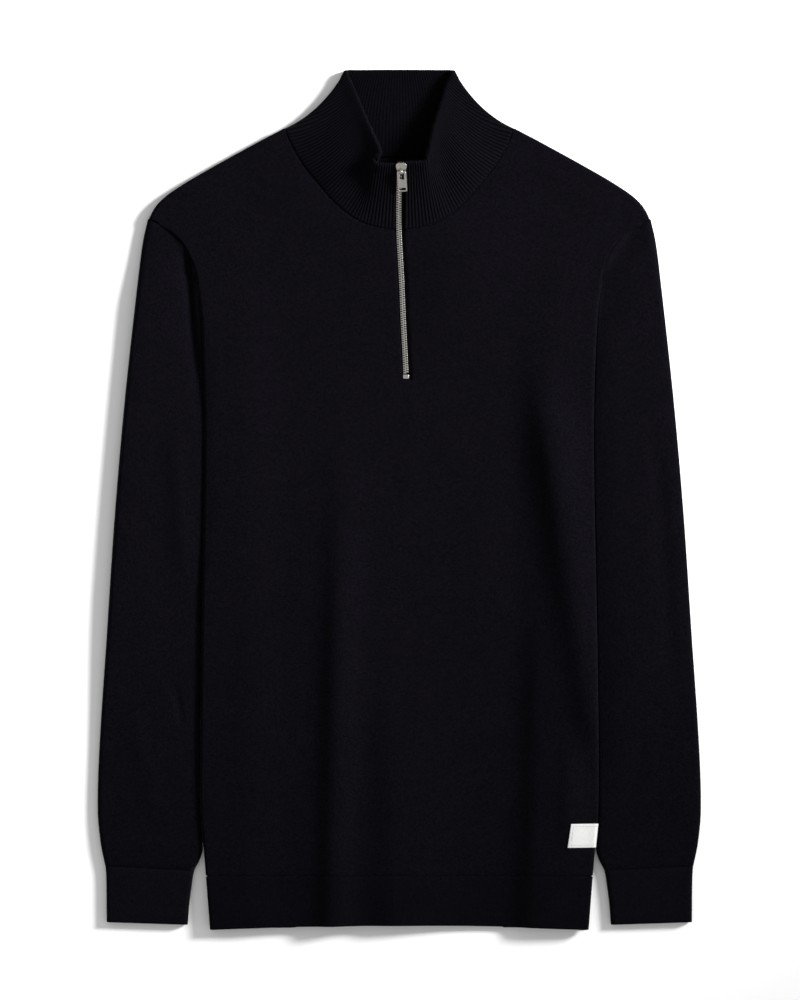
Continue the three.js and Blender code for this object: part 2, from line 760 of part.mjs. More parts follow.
function collar() {
  const faces = { right: collarFace(1), left: collarFace(-1) };
  const at = (ring, height) => {
    const onRight = ring <= 1;
    return (onRight ? faces.right : faces.left)(onRight ? ring : 2 - ring, height);
  };
  const outward = (ring, height) => {
    const low = at(ring, Math.max(height - FACE_STEP.height, 0));
    const high = at(ring, Math.min(height + FACE_STEP.height, 1));
    const before = at(Math.max(ring - FACE_STEP.ring, 0), height);
    const after = at(Math.min(ring + FACE_STEP.ring, 2), height);
    return after.sub(before).cross(high.sub(low)).normalize();
  };
  const around = (shares) => [...shares, 1, ...reversed(shares).map((share) => 2 - share)];
  const outerKeys = around(ribShares(...FRONT_RIBS, PLAIN_STEP));
  const innerKeys = around(ribShares(...BACK_RIBS, PLAIN_STEP));
  const isCrest = (ring) => Math.abs(((ring * RIBS_A_SIDE) % 1) - 0.5) < 0.01;
  const grid = (keys, depth) =>
    COLLAR_ROWS.map((height, r) =>
      keys.map((ring) => {
        const direction = outward(ring, height);
        const point = at(ring, height);
        const last = r === COLLAR_ROWS.length - 1;
        const raised = isCrest(ring) && !last ? RIB_HEIGHT : 0;
        const rounding = last ? TOP_ROUNDING : 0;
        const outside = raised * smoothstep(direction.z, 0, FACING_UP) - rounding;
        const inside = rounding - depth - raised;
        point.addScaledVector(direction, depth === 0 ? outside : inside);
        point.z = Math.max(point.z, 0);
        return point;
      }),
    );
  const inUnit = (keys) => keys.map((key) => key / 2);
  return wall(grid(outerKeys, 0), grid(innerKeys, COLLAR_WALL), inUnit(outerKeys), inUnit(innerKeys));
}

// Zip: the line of its upper face, first on the front panel and then on the collar

const ZIP_BEND_Y = NECKLINE[0].y;
const COLLAR_ZIP = {
  low: new THREE.Vector3(zipLine(ZIP_BEND_Y), ZIP_BEND_Y, frontZipZ(SLIT_TOP_Y)),
  high: new THREE.Vector3(ZIP_LINE.at(-1).x, 293.9, 30),
};

function zipPoint(y) {
  const { low, high } = COLLAR_ZIP;
  if (y <= low.y) return new THREE.Vector3(zipLine(y), y, frontZipZ(y));
  const height = (y - low.y) / (high.y - low.y);
  const early = lerp(low.z, high.z, COLLAR_EARLY_RISE);
  const z = lerp(lerp(low.z, early, height), lerp(early, high.z, height), height);
  return new THREE.Vector3(zipLine(y), y, z);
}

function zipDirection(y) {
  return new THREE.Vector3().subVectors(zipPoint(y + 0.5), zipPoint(y - 0.5)).normalize();
}

const ZIP_ROWS = [112, 130, 148, 166, 184, 200, 214, 226, 232, 237, 247, 257, 267, 278, 289.4];

// A band along the zip between two distances across it and two depths below its line.
function zipBand(rows, across, high, low) {
  const grid = (depth) =>
    rows.map((y) => {
      const point = zipPoint(y);
      const along = zipDirection(y);
      const up = new THREE.Vector3(0, -along.z, along.y);
      const middle = point.addScaledVector(up, depth);
      return across(y).map((x) => middle.clone().add(new THREE.Vector3(x, 0, 0)));
    });
  return wall(grid(high), grid(low));
}

const TAPE_NARROW_Y = 233; // above this the tape stays between the collar's edges
const TAPE_PAST_SLIT = 6;

function zipTape(side) {
  const edge = (side > 0 ? SLIT_RIGHT : SLIT_LEFT) - TAPE_CLEAR;
  const outside = (y) => (y < TAPE_NARROW_Y ? TAPE_HALF : edge);
  const rows = [SLIT_END_Y - TAPE_PAST_SLIT, ...ZIP_ROWS];
  const across = (y) => (side > 0 ? [ZIP_MIDDLE_GAP, outside(y)] : [-outside(y), -ZIP_MIDDLE_GAP]);
  return zipBand(rows, across, -TAPE_DEPTH, -TAPE_DEPTH - TAPE_THICK);
}

function zipTeeth(side) {
  const across = () => (side > 0 ? [ZIP_MIDDLE_GAP, TEETH_HALF] : [-TEETH_HALF, -ZIP_MIDDLE_GAP]);
  return zipBand(ZIP_ROWS, across, TEETH_RISE, -TEETH_DEPTH);
}

// The frame of a metal piece on the zip: X across, Y up the zip, Z away from the cloth.
function zipFrame(y) {
  const along = zipDirection(y);
  const frame = new THREE.Matrix4().makeRotationX(Math.atan2(along.z, along.y));
  return frame.setPosition(zipPoint(y));
}

const STOP = { y: 108, width: 5.2, length: 3.6, high: 0.6, low: -1.8 };

function zipStop() {
  const middle = (STOP.high + STOP.low) / 2;
  return new THREE.BoxGeometry(STOP.width, STOP.length, STOP.high - STOP.low).translate(0, 0, middle);
}

const PLATE_LOW = 1.1;
const PLATE_HIGH = 2.3;
const PLATE_OVERLAP = 0.2; // how far the slider's parts reach into each other where they join
const BRIDGE_WIDTH = 2.4;
const BRIDGE_RADIUS = 2.5;
const EYE_RADIUS = 1.5;
const WEDGE_LOW = -2.4;

// Right halves of outlines across the zip, from the lower end up
const SLIDER_HALF = [[3, -4.8], [3.9, -1.5], [4.9, 1.6], [4.4, 4.2], [2, 4.9]];
const WEDGE_HALF = [[2, 0.6], [3.4, 4.3]];

const bothSides = (half) => [...half, ...reversed(half).map(([x, y]) => [-x, y])];

function slider() {
  const top = toSolid(plate(bothSides(SLIDER_HALF), PLATE_LOW, PLATE_HIGH));
  const wedge = toSolid(plate(bothSides(WEDGE_HALF), WEDGE_LOW, PLATE_LOW + PLATE_OVERLAP));
  const arch = new THREE.Shape();
  const { y, z } = PULL_PIVOT;
  const foot = PLATE_HIGH - PLATE_OVERLAP;
  arch.moveTo(y - BRIDGE_RADIUS, foot).lineTo(y - BRIDGE_RADIUS, z);
  arch.absarc(y, z, BRIDGE_RADIUS, Math.PI, 0, true);
  arch.lineTo(y + BRIDGE_RADIUS, foot).lineTo(y - BRIDGE_RADIUS, foot);
  arch.holes.push(new THREE.Path().absarc(y, z, EYE_RADIUS, 0, Math.PI * 2, false));
  const bridge = new THREE.ExtrudeGeometry(arch, { depth: BRIDGE_WIDTH, bevelEnabled: false, curveSegments: 8 });
  const standing = new THREE.Matrix4().makeBasis(
    new THREE.Vector3(0, 1, 0),
    new THREE.Vector3(0, 0, 1),
    new THREE.Vector3(1, 0, 0),
  );
  bridge.applyMatrix4(standing).translate(-BRIDGE_WIDTH / 2, 0, 0);
  return fromSolid(top.add(wedge).add(toSolid(bridge)));
}

const TAB = { half: 4.1, top: 0.8, low: -19, corner: 0.9, thick: 1.2 };
const TAB_SLOT = { half: 1.9, top: -0.75, low: -7.4, corner: [0.7, 1] };
const TAB_HOLE = { half: 2.9, top: -15.4, low: -17.6 };

// The pull tab, with the pivot in its top bar at its own origin and its free end towards -Y.
function pull() {
  const { half, top, low, corner } = TAB;
  const outline = bothSides([
    [half - corner, low],
    [half, low + corner],
    [half, top - corner],
    [half - corner, top],
  ]);
  const [inset, rise] = TAB_SLOT.corner;
  const slot = bothSides([
    [TAB_SLOT.half - inset, TAB_SLOT.low],
    [TAB_SLOT.half, TAB_SLOT.low + rise],
    [TAB_SLOT.half, TAB_SLOT.top],
  ]);
  const hole = bothSides([[TAB_HOLE.half, TAB_HOLE.low], [TAB_HOLE.half, TAB_HOLE.top]]);
  return plate(outline, -TAB.thick / 2, TAB.thick / 2, [slot, hole]);
}

// Side label, made from the front's points, moved out

const LABEL_ROWS = [-305.3, -298, -291, -284.6];
const LABEL_COLUMNS = [149.4, 154.5, 159.5, 164.5];
const LABEL_TURNS = [0, 30, 62];
const LABEL_LEAN = 3;
const LABEL_THICK = 0.8;

function sideLabel() {
  const grid = (lift) => {
    const rows = LABEL_ROWS.map((y) => {
      const lean = LABEL_LEAN * ((LABEL_ROWS[0] - y) / (LABEL_ROWS[0] - LABEL_ROWS.at(-1)));
      const lying = LABEL_COLUMNS.map((x) => new THREE.Vector3(x + lean, y, frontHeight(x + lean, y)));
      return [...lying, ...LABEL_TURNS.map((angle) => rollPoint(1, y, angle))];
    });
    return moved(rows, lift);
  };
  return wall(grid(SEAM_GAP + LABEL_THICK), grid(SEAM_GAP));
}

add("back_panel", backPanel(), JERSEY);
add("hem_back", backHem(), BAND);
for (const [name, side] of [["left", 1], ["right", -1]]) {
  add(`side_layers_${name}`, sideLayers(side), JERSEY);
  add(`sleeve_${name}`, sleeveTube(side, SLEEVE_ROWS, SLEEVE_ENDS, true), JERSEY);
  add(`cuff_${name}`, sleeveTube(side, CUFF_ROWS, CUFF_ENDS, false), BAND);
  add(`zip_tape_${name}`, zipTape(side), TAPE);
  add(`zip_teeth_${name}`, zipTeeth(side), METAL);
}
add("front_panel", frontPanel(), JERSEY);
add("hem_front", frontHem(), BAND);
add("collar", collar(), RIB);
add("side_label", sideLabel(), LABEL);
add("zip_stop", zipStop(), METAL, zipFrame(STOP.y));
add("zip_slider", slider(), METAL, zipFrame(SLIDER_Y));
const hinge = new THREE.Matrix4().makeTranslation(0, PULL_PIVOT.y, PULL_PIVOT.z);
const droop = new THREE.Matrix4().makeRotationX(degToRad(PULL_DROOP));
add("zip_pull", pull(), METAL, zipFrame(SLIDER_Y).multiply(hinge).multiply(droop));

export default sweater;
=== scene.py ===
import math

import bpy
import numpy as np
from mathutils import Matrix, Vector


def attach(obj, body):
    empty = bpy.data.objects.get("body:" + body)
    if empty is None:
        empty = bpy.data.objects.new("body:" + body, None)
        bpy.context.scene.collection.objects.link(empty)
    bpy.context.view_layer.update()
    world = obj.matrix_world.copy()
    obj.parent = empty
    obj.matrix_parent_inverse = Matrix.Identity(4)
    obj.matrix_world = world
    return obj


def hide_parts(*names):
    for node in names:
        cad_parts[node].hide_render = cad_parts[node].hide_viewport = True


# A quarter zip sweater laid flat on its back. Sizes are in millimetres,
# +X is the wearer's left and +Y the neck.
MM = 0.001
rng = np.random.default_rng(7)

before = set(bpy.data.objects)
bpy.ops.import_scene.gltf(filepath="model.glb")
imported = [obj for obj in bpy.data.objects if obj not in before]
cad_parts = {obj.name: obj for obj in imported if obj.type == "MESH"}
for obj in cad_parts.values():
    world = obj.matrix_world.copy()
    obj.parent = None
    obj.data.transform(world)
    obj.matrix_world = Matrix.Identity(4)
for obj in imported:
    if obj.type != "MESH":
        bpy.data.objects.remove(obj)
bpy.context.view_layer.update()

# Cloth sizes, the same as the solids'
WALL = 2
COLLAR_WALL = 3
SEAM_GAP = 0.3
LOW_TOP = 6.4
HIGH_TOP = 10.4
LEAST_TOP = 4.9
TUCK_WIDTH = 78
TUCK_FLAT = 32
HEM_SEAM_Y = -330.7
HEM_END_Y = -374.3
HEM_CORNER_DROP = 3.7
UNDERARM_Y = 194
ARMHOLE_TIP_Y = 246
NECK_POINT = (101.3, 325.6)
BACK_NECK_DROP = 25.2
COLLAR_TOP_Y = 378

# Edges: y, then the half width of the body or the sleeve edge's distance from the middle
SIDE_FOLD = [
    (-378, 166), (-330, 170), (-306, 172), (-276, 174.7), (-232, 175.1),
    (-120, 173.8), (14, 171.3), (81, 171.2), (158, 174.2), (194, 178.6),
]
ARMHOLE = [(194, 178.6), (213, 183), (233, 197.5), (246, 220.5)]
SHOULDER = [
    (246, 220.5), (256.5, 214.9), (263.6, 208.6), (270.6, 199.8),
    (284.7, 177.2), (312.8, 126.6), (326, 101.5),
]
SLEEVE_OUTER = [
    (-372, 257.3), (-333, 257.7), (-322.5, 258.4), (-317, 259.7), (-301, 262.8), (-273, 265.2),
    (-220, 263.8), (-115, 256.9), (-9, 249.8), (96, 240.5), (202, 228.5), (228, 224.9), (246, 220.8),
]
SLEEVE_INNER = [
    (-374, 186), (-354, 184.4), (-338, 182.3), (-326, 180.2), (-317, 175.6), (-306, 172.8),
    (-276, 175.4), (-232, 175.8), (-120, 174.5), (14, 172), (81, 171.9), (158, 174.9), (194, 179.2),
]
# Neckline of the front: x, y
NECKLINE = [
    (0, 236.4), (16, 238.2), (33.4, 243.5), (46.6, 251.6), (59.4, 263),
    (72.2, 277.9), (83.6, 291.9), (93.3, 307.8), NECK_POINT,
]

# Raised and sunk folds: top x, top y, lower x, lower y, width towards lower x and towards higher x,
# lift, and the lengths over which it fades at its top and at its lower end.
# A sleeve's x counts from the middle of the body.
BODY_FOLDS = [
    (-50, 105, -59, -400, 13, 17, 7.4, 260, 1),
    (-4, -100, -3, -400, 21, 46, 6.6, 170, 1),
    (118, 150, 178, -245, 17.5, 26, 10, 120, 60),
    (127, -50, 118, -400, 15, 50, 6.2, 130, 1),
    (148, -190, 149, -350, 8, 14, 2.6, 45, 60),
    (-176, 165, -176, -95, 8, 9, -2.4, 70, 80),
    (46, 268, 40, 105, 30, 84, 3.6, 60, 70),
    (-50, 110, -60, -400, 85, 60, 5.4, 220, 1),
    (-128, -80, -120, -330, 16, 26, 1.1, 90, 90),
    (12, 104, 4, -60, 7, 9, 0.5, 20, 90),
    (62, 30, 74, -150, 18, 24, 0.7, 60, 80),
]
LEFT_SLEEVE_FOLDS = [
    (212, 248, 181, 196, 4, 14, -3.4, 8, 14),
    (181, 208, 177, 120, 5, 18, -3.4, 14, 60),
    (224, 80, 243, -200, 8, 8, -1.8, 60, 90),
    (238, 170, 264, -200, 10, 10, -1.9, 60, 80),
    (205, -60, 210, -250, 15, 14, 0.7, 60, 70),
    (221, -190, 196, -300, 9, 9, -0.8, 40, 50),
]
RIGHT_SLEEVE_FOLDS = [
    (204, 244, 181, 190, 6, 14, -1.5, 12, 14),
    (184, 214, 178, 70, 9, 15, -2.2, 16, 90),
    (184, 224, 173.5, 60, 4, 7, -4.6, 14, 110),
    (199, 95, 188, -85, 8, 10, 1.9, 60, 60),
    (198, -158, 189, -208, 3, 4, -1.5, 14, 20),
    (225, 228, 264, -240, 30, 9, 4, 60, 170),
    (226, -20, 214, -200, 14, 16, 0.8, 60, 70),
    (238, -170, 205, -300, 9, 10, 1.3, 50, 50),
]
BACK_FOLDS = [
    (-38, 150, -52, -300, 16, 22, 1.3, 120, 60),
    (24, -60, 30, -318, 14, 24, 1.1, 90, 30),
    (66, 190, 58, -40, 18, 20, 0.9, 70, 90),
    (-74, 40, -66, -200, 12, 18, 0.7, 80, 60),
]

# Zip line: y, x, and the slit beside it
ZIP_LINE = [
    (100, 6.2), (123, 5.2), (158, 3.4), (193, 1.9), (220, 0.4), (236, -0.4), (267, -0.4), (294, 0.6),
]
SLIT_LEFT = 3.2
SLIT_RIGHT = 4.9
SLIT_END_Y = 105.4
TEETH_HALF = 2.2
TOOTH_PITCH = 2.03
TAPE_DEPTH = 2.35
TAPE_THICK = 0.7
TAPE_HALF = 10
TAPE_CLEAR = 0.9
TAPE_TOP_Y = 289.2
TAPE_NARROWS = (230, 235.4)

# Top edge of the collar's front half, from the zip to the side fold: x, y, z
COLLAR_TOP_LEFT = [
    (2.6, 293, 30), (17.6, 293.4, 30.4), (21.8, 295.6, 30.2), (22.4, 299.2, 29.6), (18, 305.6, 28),
    (19.8, 313, 25.8), (25.8, 327.1, 21.4), (31.9, 342.1, 17), (39.4, 360.6, 12.4),
    (47.2, COLLAR_TOP_Y, 9.6),
]
COLLAR_TOP_RIGHT = [
    (5.5, 294.8, 30), (20.5, 295.4, 30.4), (24.6, 297.4, 30), (25.6, 302, 29), (27.7, 310.4, 26.8),
    (29.4, 322.7, 23), (32.3, 335, 19.2), (36.9, 350, 15), (41.6, 365.3, 11.6),
    (47.6, COLLAR_TOP_Y, 9.6),
]
RIBS_A_SIDE = 78
RIB_HEIGHT = 0.62
RIB_PITCH = 3.1
COLLAR_FOLD = 0.08
COLLAR_TURN = 4.6
COLLAR_DIP = (-6.2, -11.8)
COLLAR_EARLY_RISE = 0.17
COLLAR_SIDE_POWER = 4

# Metal pieces
SLIDER_Y = 290.6
STOP_Y = 108
PULL_PIVOT = (-2.6, 3.9)
PULL_DROOP = 1.2
SLIDER_SHIFT = 1.2
PULL_SHIFT = 0.3
PULL_SKEW = 3


def lerp(a, b, t):
    return a + (b - a) * t


def smoothstep(x, low, high):
    t = np.clip((x - low) / (high - low), 0, 1)
    return t * t * (3 - 2 * t)


def curve(rows):
    """A smooth curve through rows of (key, value, ...), as a function of the key."""
    rows = np.array(rows, float)
    keys, values = rows[:, 0], rows[:, 1:]
    before = np.maximum(np.arange(len(rows)) - 1, 0)
    after = np.minimum(np.arange(len(rows)) + 1, len(rows) - 1)
    slopes = (values[after] - values[before]) / (keys[after] - keys[before])[:, None]

    def at(place):
        place = np.clip(np.asarray(place, float), keys[0], keys[-1])
        i = np.clip(np.searchsorted(keys, place, side="right") - 1, 0, len(keys) - 2)
        span = (keys[i + 1] - keys[i])[..., None]
        t = (place[..., None] - keys[i][..., None]) / span
        ends = lerp(values[i], values[i + 1], t * t * (3 - 2 * t))
        found = ends + span * t * (1 - t) * ((1 - t) * slopes[i] - t * slopes[i + 1])
        return found[..., 0] if found.shape[-1] == 1 else found

    return at


def path_through(rows):
    """A smooth curve in space through rows of (x, y, z), for t from 0 to 1, and its length."""
    points = np.array(rows, float)
    steps = np.linalg.norm(np.diff(points, axis=0), axis=1)
    keys = np.concatenate([[0], np.cumsum(steps)])
    at = curve(np.column_stack([keys, points]))
    return (lambda t: at(np.asarray(t) * keys[-1])), keys[-1]


side_fold = curve(SIDE_FOLD)
armhole = curve(ARMHOLE)
shoulder = curve(SHOULDER)
neckline = curve(NECKLINE)
sleeve_outer = curve(SLEEVE_OUTER)
sleeve_inner = curve(SLEEVE_INNER)
zip_line = curve(ZIP_LINE)


def body_edge(y):
    y = np.asarray(y, float)
    upper = np.where(y < ARMHOLE_TIP_Y, armhole(y), shoulder(y))
    return np.where(y < UNDERARM_Y, side_fold(y), upper)


def fold_lift(folds, x, y):
    lift = np.zeros(np.broadcast(x, y).shape)
    for top_x, top_y, low_x, low_y, width_low, width_high, height, fade_top, fade_low in folds:
        away = x - lerp(top_x, low_x, (top_y - y) / (top_y - low_y))
        across = away / np.where(away < 0, width_low, width_high)
        ends = smoothstep(top_y - y, 0, fade_top) * smoothstep(y - low_y, 0, fade_low)
        lift = lift + height * ends * np.exp(-across * across)
    return lift


# From and to this y the front rises by this share
CHEST_RISE = (110, 240, 0.7)
# Half width, half height and middle of the neck, and the share over which the front rises round it
NECK_OVAL = (101, 86, 322, 0.5)


def front_height(x, y):
    """Height of the front's outer face: low in the middle, high over the sides, shoulders and neckline."""
    side = 1 - smoothstep(body_edge(y) - np.abs(x), TUCK_FLAT, TUCK_WIDTH)
    chest = CHEST_RISE[2] * smoothstep(y, *CHEST_RISE[:2])
    half_width, half_height, middle, reach = NECK_OVAL
    neck = 1 - smoothstep(np.hypot(x / half_width, (y - middle) / half_height) - 1, 0, reach)
    flat = (1 - side) * (1 - chest) * (1 - neck)
    return np.maximum(HIGH_TOP - (HIGH_TOP - LOW_TOP) * flat + fold_lift(BODY_FOLDS, x, y), LEAST_TOP)


# Materials

class Shader:
    """A material's node tree, with short calls for its nodes."""

    def __init__(self, name, **settings):
        self.material = bpy.data.materials.new(name)
        self.material.use_nodes = True
        self.tree = self.material.node_tree
        self.shader = self.tree.nodes["Principled BSDF"]
        for socket, value in settings.items():
            self.shader.inputs[socket.replace("_", " ")].default_value = value

    def node(self, kind, inputs=(), **settings):
        made = self.tree.nodes.new(f"ShaderNode{kind}")
        for key, value in settings.items():
            setattr(made, key, value)
        for key, value in dict(inputs).items():
            self.put(made.inputs[key], value)
        return made

    def put(self, socket, value):
        if isinstance(value, bpy.types.NodeSocket):
            self.tree.links.new(value, socket)
        else:
            socket.default_value = value

    def math(self, operation, *values):
        return self.node("Math", dict(enumerate(values)), operation=operation).outputs[0]

    def product(self, *values):
        total = values[0]
        for value in values[1:]:
            total = self.math("MULTIPLY", total, value)
        return total

    def noise(self, vector, scale, detail=2.0, roughness=0.5):
        inputs = {"Vector": vector, "Scale": scale, "Detail": detail, "Roughness": roughness}
        return self.node("TexNoise", inputs).outputs["Fac"]

    def range(self, value, low, high, to_low, to_high):
        inputs = {0: value, 1: low, 2: high, 3: to_low, 4: to_high}
        return self.node("MapRange", inputs).outputs[0]

    def tint(self, colour, factor):
        """The colour made lighter or darker by a factor of about 1."""
        grey = self.node("CombineXYZ", {0: factor, 1: factor, 2: factor}).outputs[0]
        mixed = self.node("VectorMath", {0: colour, 1: grey}, operation="MULTIPLY").outputs[0]
        self.tree.links.new(mixed, self.shader.inputs["Base Color"])

    def bump(self, height, depth_mm, under=None):
        inputs = {"Height": height, "Distance": depth_mm * MM, "Strength": 1.0}
        made = self.node("Bump", inputs)
        if under is not None:
            self.tree.links.new(under, made.inputs["Normal"])
        self.tree.links.new(made.outputs[0], self.shader.inputs["Normal"])
        return made.outputs[0]


def weave_place(shader):
    """The cloth's own coordinates: millimetres across and along the knit, and a share by which the collar's
    inner face is painted darker as shade.
    """
    place = shader.node("Attribute", attribute_name="weave").outputs["Vector"]
    parts = shader.node("SeparateXYZ", {0: place})
    return place, *parts.outputs[:3]


def knit_relief(shader, across, along, wale, course):
    """Height of jersey stitches: two slanted legs a stitch, in columns wale wide and rows course tall."""
    column = shader.math("FRACT", shader.math("DIVIDE", across, wale))
    off = shader.math("ABSOLUTE", shader.math("SUBTRACT", column, 0.5))
    slanted = shader.math("ADD", shader.math("DIVIDE", along, course), shader.math("MULTIPLY", off, -1.3))
    leg = shader.math("SINE", shader.math("MULTIPLY", slanted, 2 * math.pi))
    round_leg = shader.math("SINE", shader.math("MULTIPLY", off, 2 * math.pi))
    raised = shader.math("ADD", shader.math("MULTIPLY", leg, 0.3), 0.7)
    return shader.math("MULTIPLY", round_leg, raised)


# How far the rows of stitches sway, and how dark the collar's inner face is painted as shade
UNEVEN = 1.2
INNER_FACE_PAINTED_SHADE = 0.66
SWAY_SCALE = 0.07
CELL_SCALE = 1.25
FUZZ_SCALE = 2.6
FUZZ_DEPTH = 0.16
CLOTH_SHEEN = 0.05
SHEEN_TINT = (0.8, 0.78, 1.0, 1)
CLOTH_LOOK = {
    "Roughness": 0.95,
    "Specular_IOR_Level": 0.012,
    "Sheen_Weight": CLOTH_SHEEN,
    "Sheen_Roughness": 0.15,
}


def cloth(name, colour, wale, course, depth, heather=0.16, rib=0.0, rib_painted_light=0.07):
    """Fine knit wool: stitches, a heathered yarn, soft fuzz, faint wear and ribs, partly shown as painted
    light and shade.
    """
    shader = Shader(name, **CLOTH_LOOK)
    shader.shader.inputs["Sheen Tint"].default_value = SHEEN_TINT
    place, straight, along, closed = weave_place(shader)
    sway = shader.range(shader.noise(place, SWAY_SCALE, 2, 0.5), 0.2, 0.8, -UNEVEN, UNEVEN)
    across = shader.math("ADD", straight, sway)
    along = shader.math("ADD", along, sway)
    stitches = knit_relief(shader, across, along, wale, course)
    yarn = shader.noise(place, 1.2, 3, 0.7)
    patches = shader.noise(place, 0.035, 2)
    drawn_out = shader.node("Mapping", {"Vector": place, "Scale": (0.9, 0.06, 1)}).outputs[0]
    streaks = shader.noise(drawn_out, 1.0, 2)
    cells = shader.node("TexVoronoi", {"Vector": place, "Scale": CELL_SCALE}, feature="F1").outputs["Color"]
    shade = shader.node("SeparateXYZ", {0: cells}).outputs[0]
    factor = shader.product(
        shader.range(shade, 0, 1, 1 - heather, 1 + heather),
        shader.range(yarn, 0.3, 0.7, 1 - heather / 4, 1 + heather / 4),
        shader.range(patches, 0.3, 0.7, 0.95, 1.05),
        shader.range(streaks, 0.3, 0.7, 0.97, 1.03),
        # Painted shade: the stitches' colour is darker where their relief is low
        shader.range(stitches, 0, 1, 0.88, 1.08),
    )
    if rib:
        # Painted light and shade on the ribs: crests lighter and valleys darker, fading out inside the
        # collar
        lines = shader.math("COSINE", shader.math("MULTIPLY", straight, 2 * math.pi / rib))
        rib_light_and_shade = shader.product(lines, shader.range(closed, 0, 1, rib_painted_light, 0))
        # Painted shade: the collar's inner face, where the weave's third share rises, is darkened
        inner_face_shade = shader.range(closed, 0, 1, 1, INNER_FACE_PAINTED_SHADE)
        factor = shader.product(factor, shader.math("SUBTRACT", 1.0, rib_light_and_shade), inner_face_shade)
    shader.tint(colour, factor)
    fuzz = shader.noise(place, FUZZ_SCALE, 2, 0.6)
    under = shader.bump(fuzz, FUZZ_DEPTH)
    shader.bump(stitches, depth, under)
    return shader.material


def woven(name, colour, pitch, depth, roughness=0.85, sheen=0.02):
    """A plain weave of threads pitch apart, for tapes and labels."""
    shader = Shader(name, Roughness=roughness, Specular_IOR_Level=0.1, Sheen_Weight=sheen)
    place, across, along, _ = weave_place(shader)
    warp = shader.math("SINE", shader.math("MULTIPLY", across, 2 * math.pi / pitch))
    weft = shader.math("SINE", shader.math("MULTIPLY", along, 2 * math.pi / pitch))
    threads = shader.math("MULTIPLY", warp, weft)
    wear = shader.noise(place, 0.8, 3, 0.6)
    worn = shader.range(wear, 0.3, 0.7, 0.93, 1.05)
    # Painted shade: the weave's colour is darker where its threads sink
    shader.tint(colour, shader.product(worn, shader.range(threads, -1, 1, 0.9, 1.04)))
    shader.bump(threads, depth)
    return shader.material


def metal(name, colour, roughness):
    """Satin plated zinc, with fine tumbling marks."""
    shader = Shader(name, Metallic=1.0, Roughness=roughness)
    place = shader.node("TexCoord").outputs["Object"]
    marks = shader.noise(place, 900.0, 3, 0.6)
    blotches = shader.noise(place, 180.0, 2)
    marked = shader.range(marks, 0.3, 0.7, 0.95, 1.04)
    shader.tint(colour, shader.product(marked, shader.range(blotches, 0.3, 0.7, 0.95, 1.03)))
    rough = shader.range(marks, 0.3, 0.7, roughness - 0.06, roughness + 0.08)
    shader.tree.links.new(rough, shader.shader.inputs["Roughness"])
    shader.bump(marks, 0.02)
    return shader.material


JERSEY_COLOUR = (0.00274, 0.00239, 0.00375)
RIB_COLOUR = (0.00238, 0.00216, 0.0032)
# The hem band and the cuffs are one knit in two colours: the cuffs' lighter colour is painted light
HEM_COLOUR = (0.00242, 0.00217, 0.00335)
CUFF_COLOUR = (0.0031, 0.0027, 0.0042)
THREAD_COLOUR = (0.0044, 0.004, 0.0058)
SEAM_COLOUR = (0.0016, 0.0015, 0.002)

JERSEY = cloth("jersey_knit", JERSEY_COLOUR, 1.5, 1.1, 0.24, heather=0.46)
RIB = cloth("rib_knit", RIB_COLOUR, 1.9, 1.3, 0.2, heather=0.26, rib=RIB_PITCH, rib_painted_light=0.42)
BAND = cloth("band_knit", HEM_COLOUR, 1.3, 1.0, 0.2, heather=0.36, rib=2.6)
CUFF = cloth("cuff_knit", CUFF_COLOUR, 1.3, 1.0, 0.2, heather=0.36, rib=2.6)
THREAD = cloth("linking_thread", THREAD_COLOUR, 0.5, 0.5, 0.05, heather=0.3)
SEAM_THREAD = cloth("seam_thread", SEAM_COLOUR, 0.5, 0.5, 0.05)
TAPE = woven("zip_tape_weave", (0.0022, 0.002, 0.0026), 0.6, 0.12, sheen=0.004)
LABEL = woven("label_weave", (0.56, 0.56, 0.547), 0.45, 0.06)
LABEL_THREAD = woven("label_stitching", (0.38, 0.38, 0.37), 0.3, 0.04)
METAL = metal("satin_nickel", (0.47, 0.45, 0.42), 0.3)


# Meshes

def new_piece(name, points, faces, material, weave=None, body="sweater"):
    mesh = bpy.data.meshes.new(name)
    mesh.from_pydata((np.asarray(points) * MM).tolist(), [], [tuple(map(int, face)) for face in faces])
    if weave is not None:
        layer = mesh.attributes.new("weave", "FLOAT_VECTOR", "POINT")
        layer.data.foreach_set("vector", np.asarray(weave, np.float32).ravel())
    mesh.shade_smooth()
    mesh.materials.append(material)
    piece = bpy.data.objects.new(name, mesh)
    bpy.context.scene.collection.objects.link(piece)
    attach(piece, body)
    return piece


def grid_quads(rows, columns, closed=False, keep=None):
    """The quads of a grid of points, which face out where columns run to the right of its rows."""
    index = np.arange(rows * columns).reshape(rows, columns)
    if closed:
        index = np.concatenate([index, index[:, :1]], 1)
    quads = np.stack([index[:-1, :-1], index[:-1, 1:], index[1:, 1:], index[1:, :-1]], -1)
    return quads[keep] if keep is not None else quads.reshape(-1, 4)


def unit(vectors):
    return vectors / np.maximum(np.linalg.norm(vectors, axis=-1, keepdims=True), 1e-12)


def vertex_normals(points, quads):
    a, b, c, d = (points[quads[:, i]] for i in range(4))
    normal = np.cross(c - a, d - b)
    total = np.zeros_like(points)
    for i in range(4):
        np.add.at(total, quads[:, i], normal)
    return unit(total)


def open_edges(quads, count):
    """The directed edges that only one quad has."""
    edges = np.concatenate([quads[:, [i, (i + 1) % 4]] for i in range(4)])
    codes = edges[:, 0] * count + edges[:, 1]
    back = edges[:, 1] * count + edges[:, 0]
    return edges[~np.isin(codes, back)]


RIM_STEPS = 4


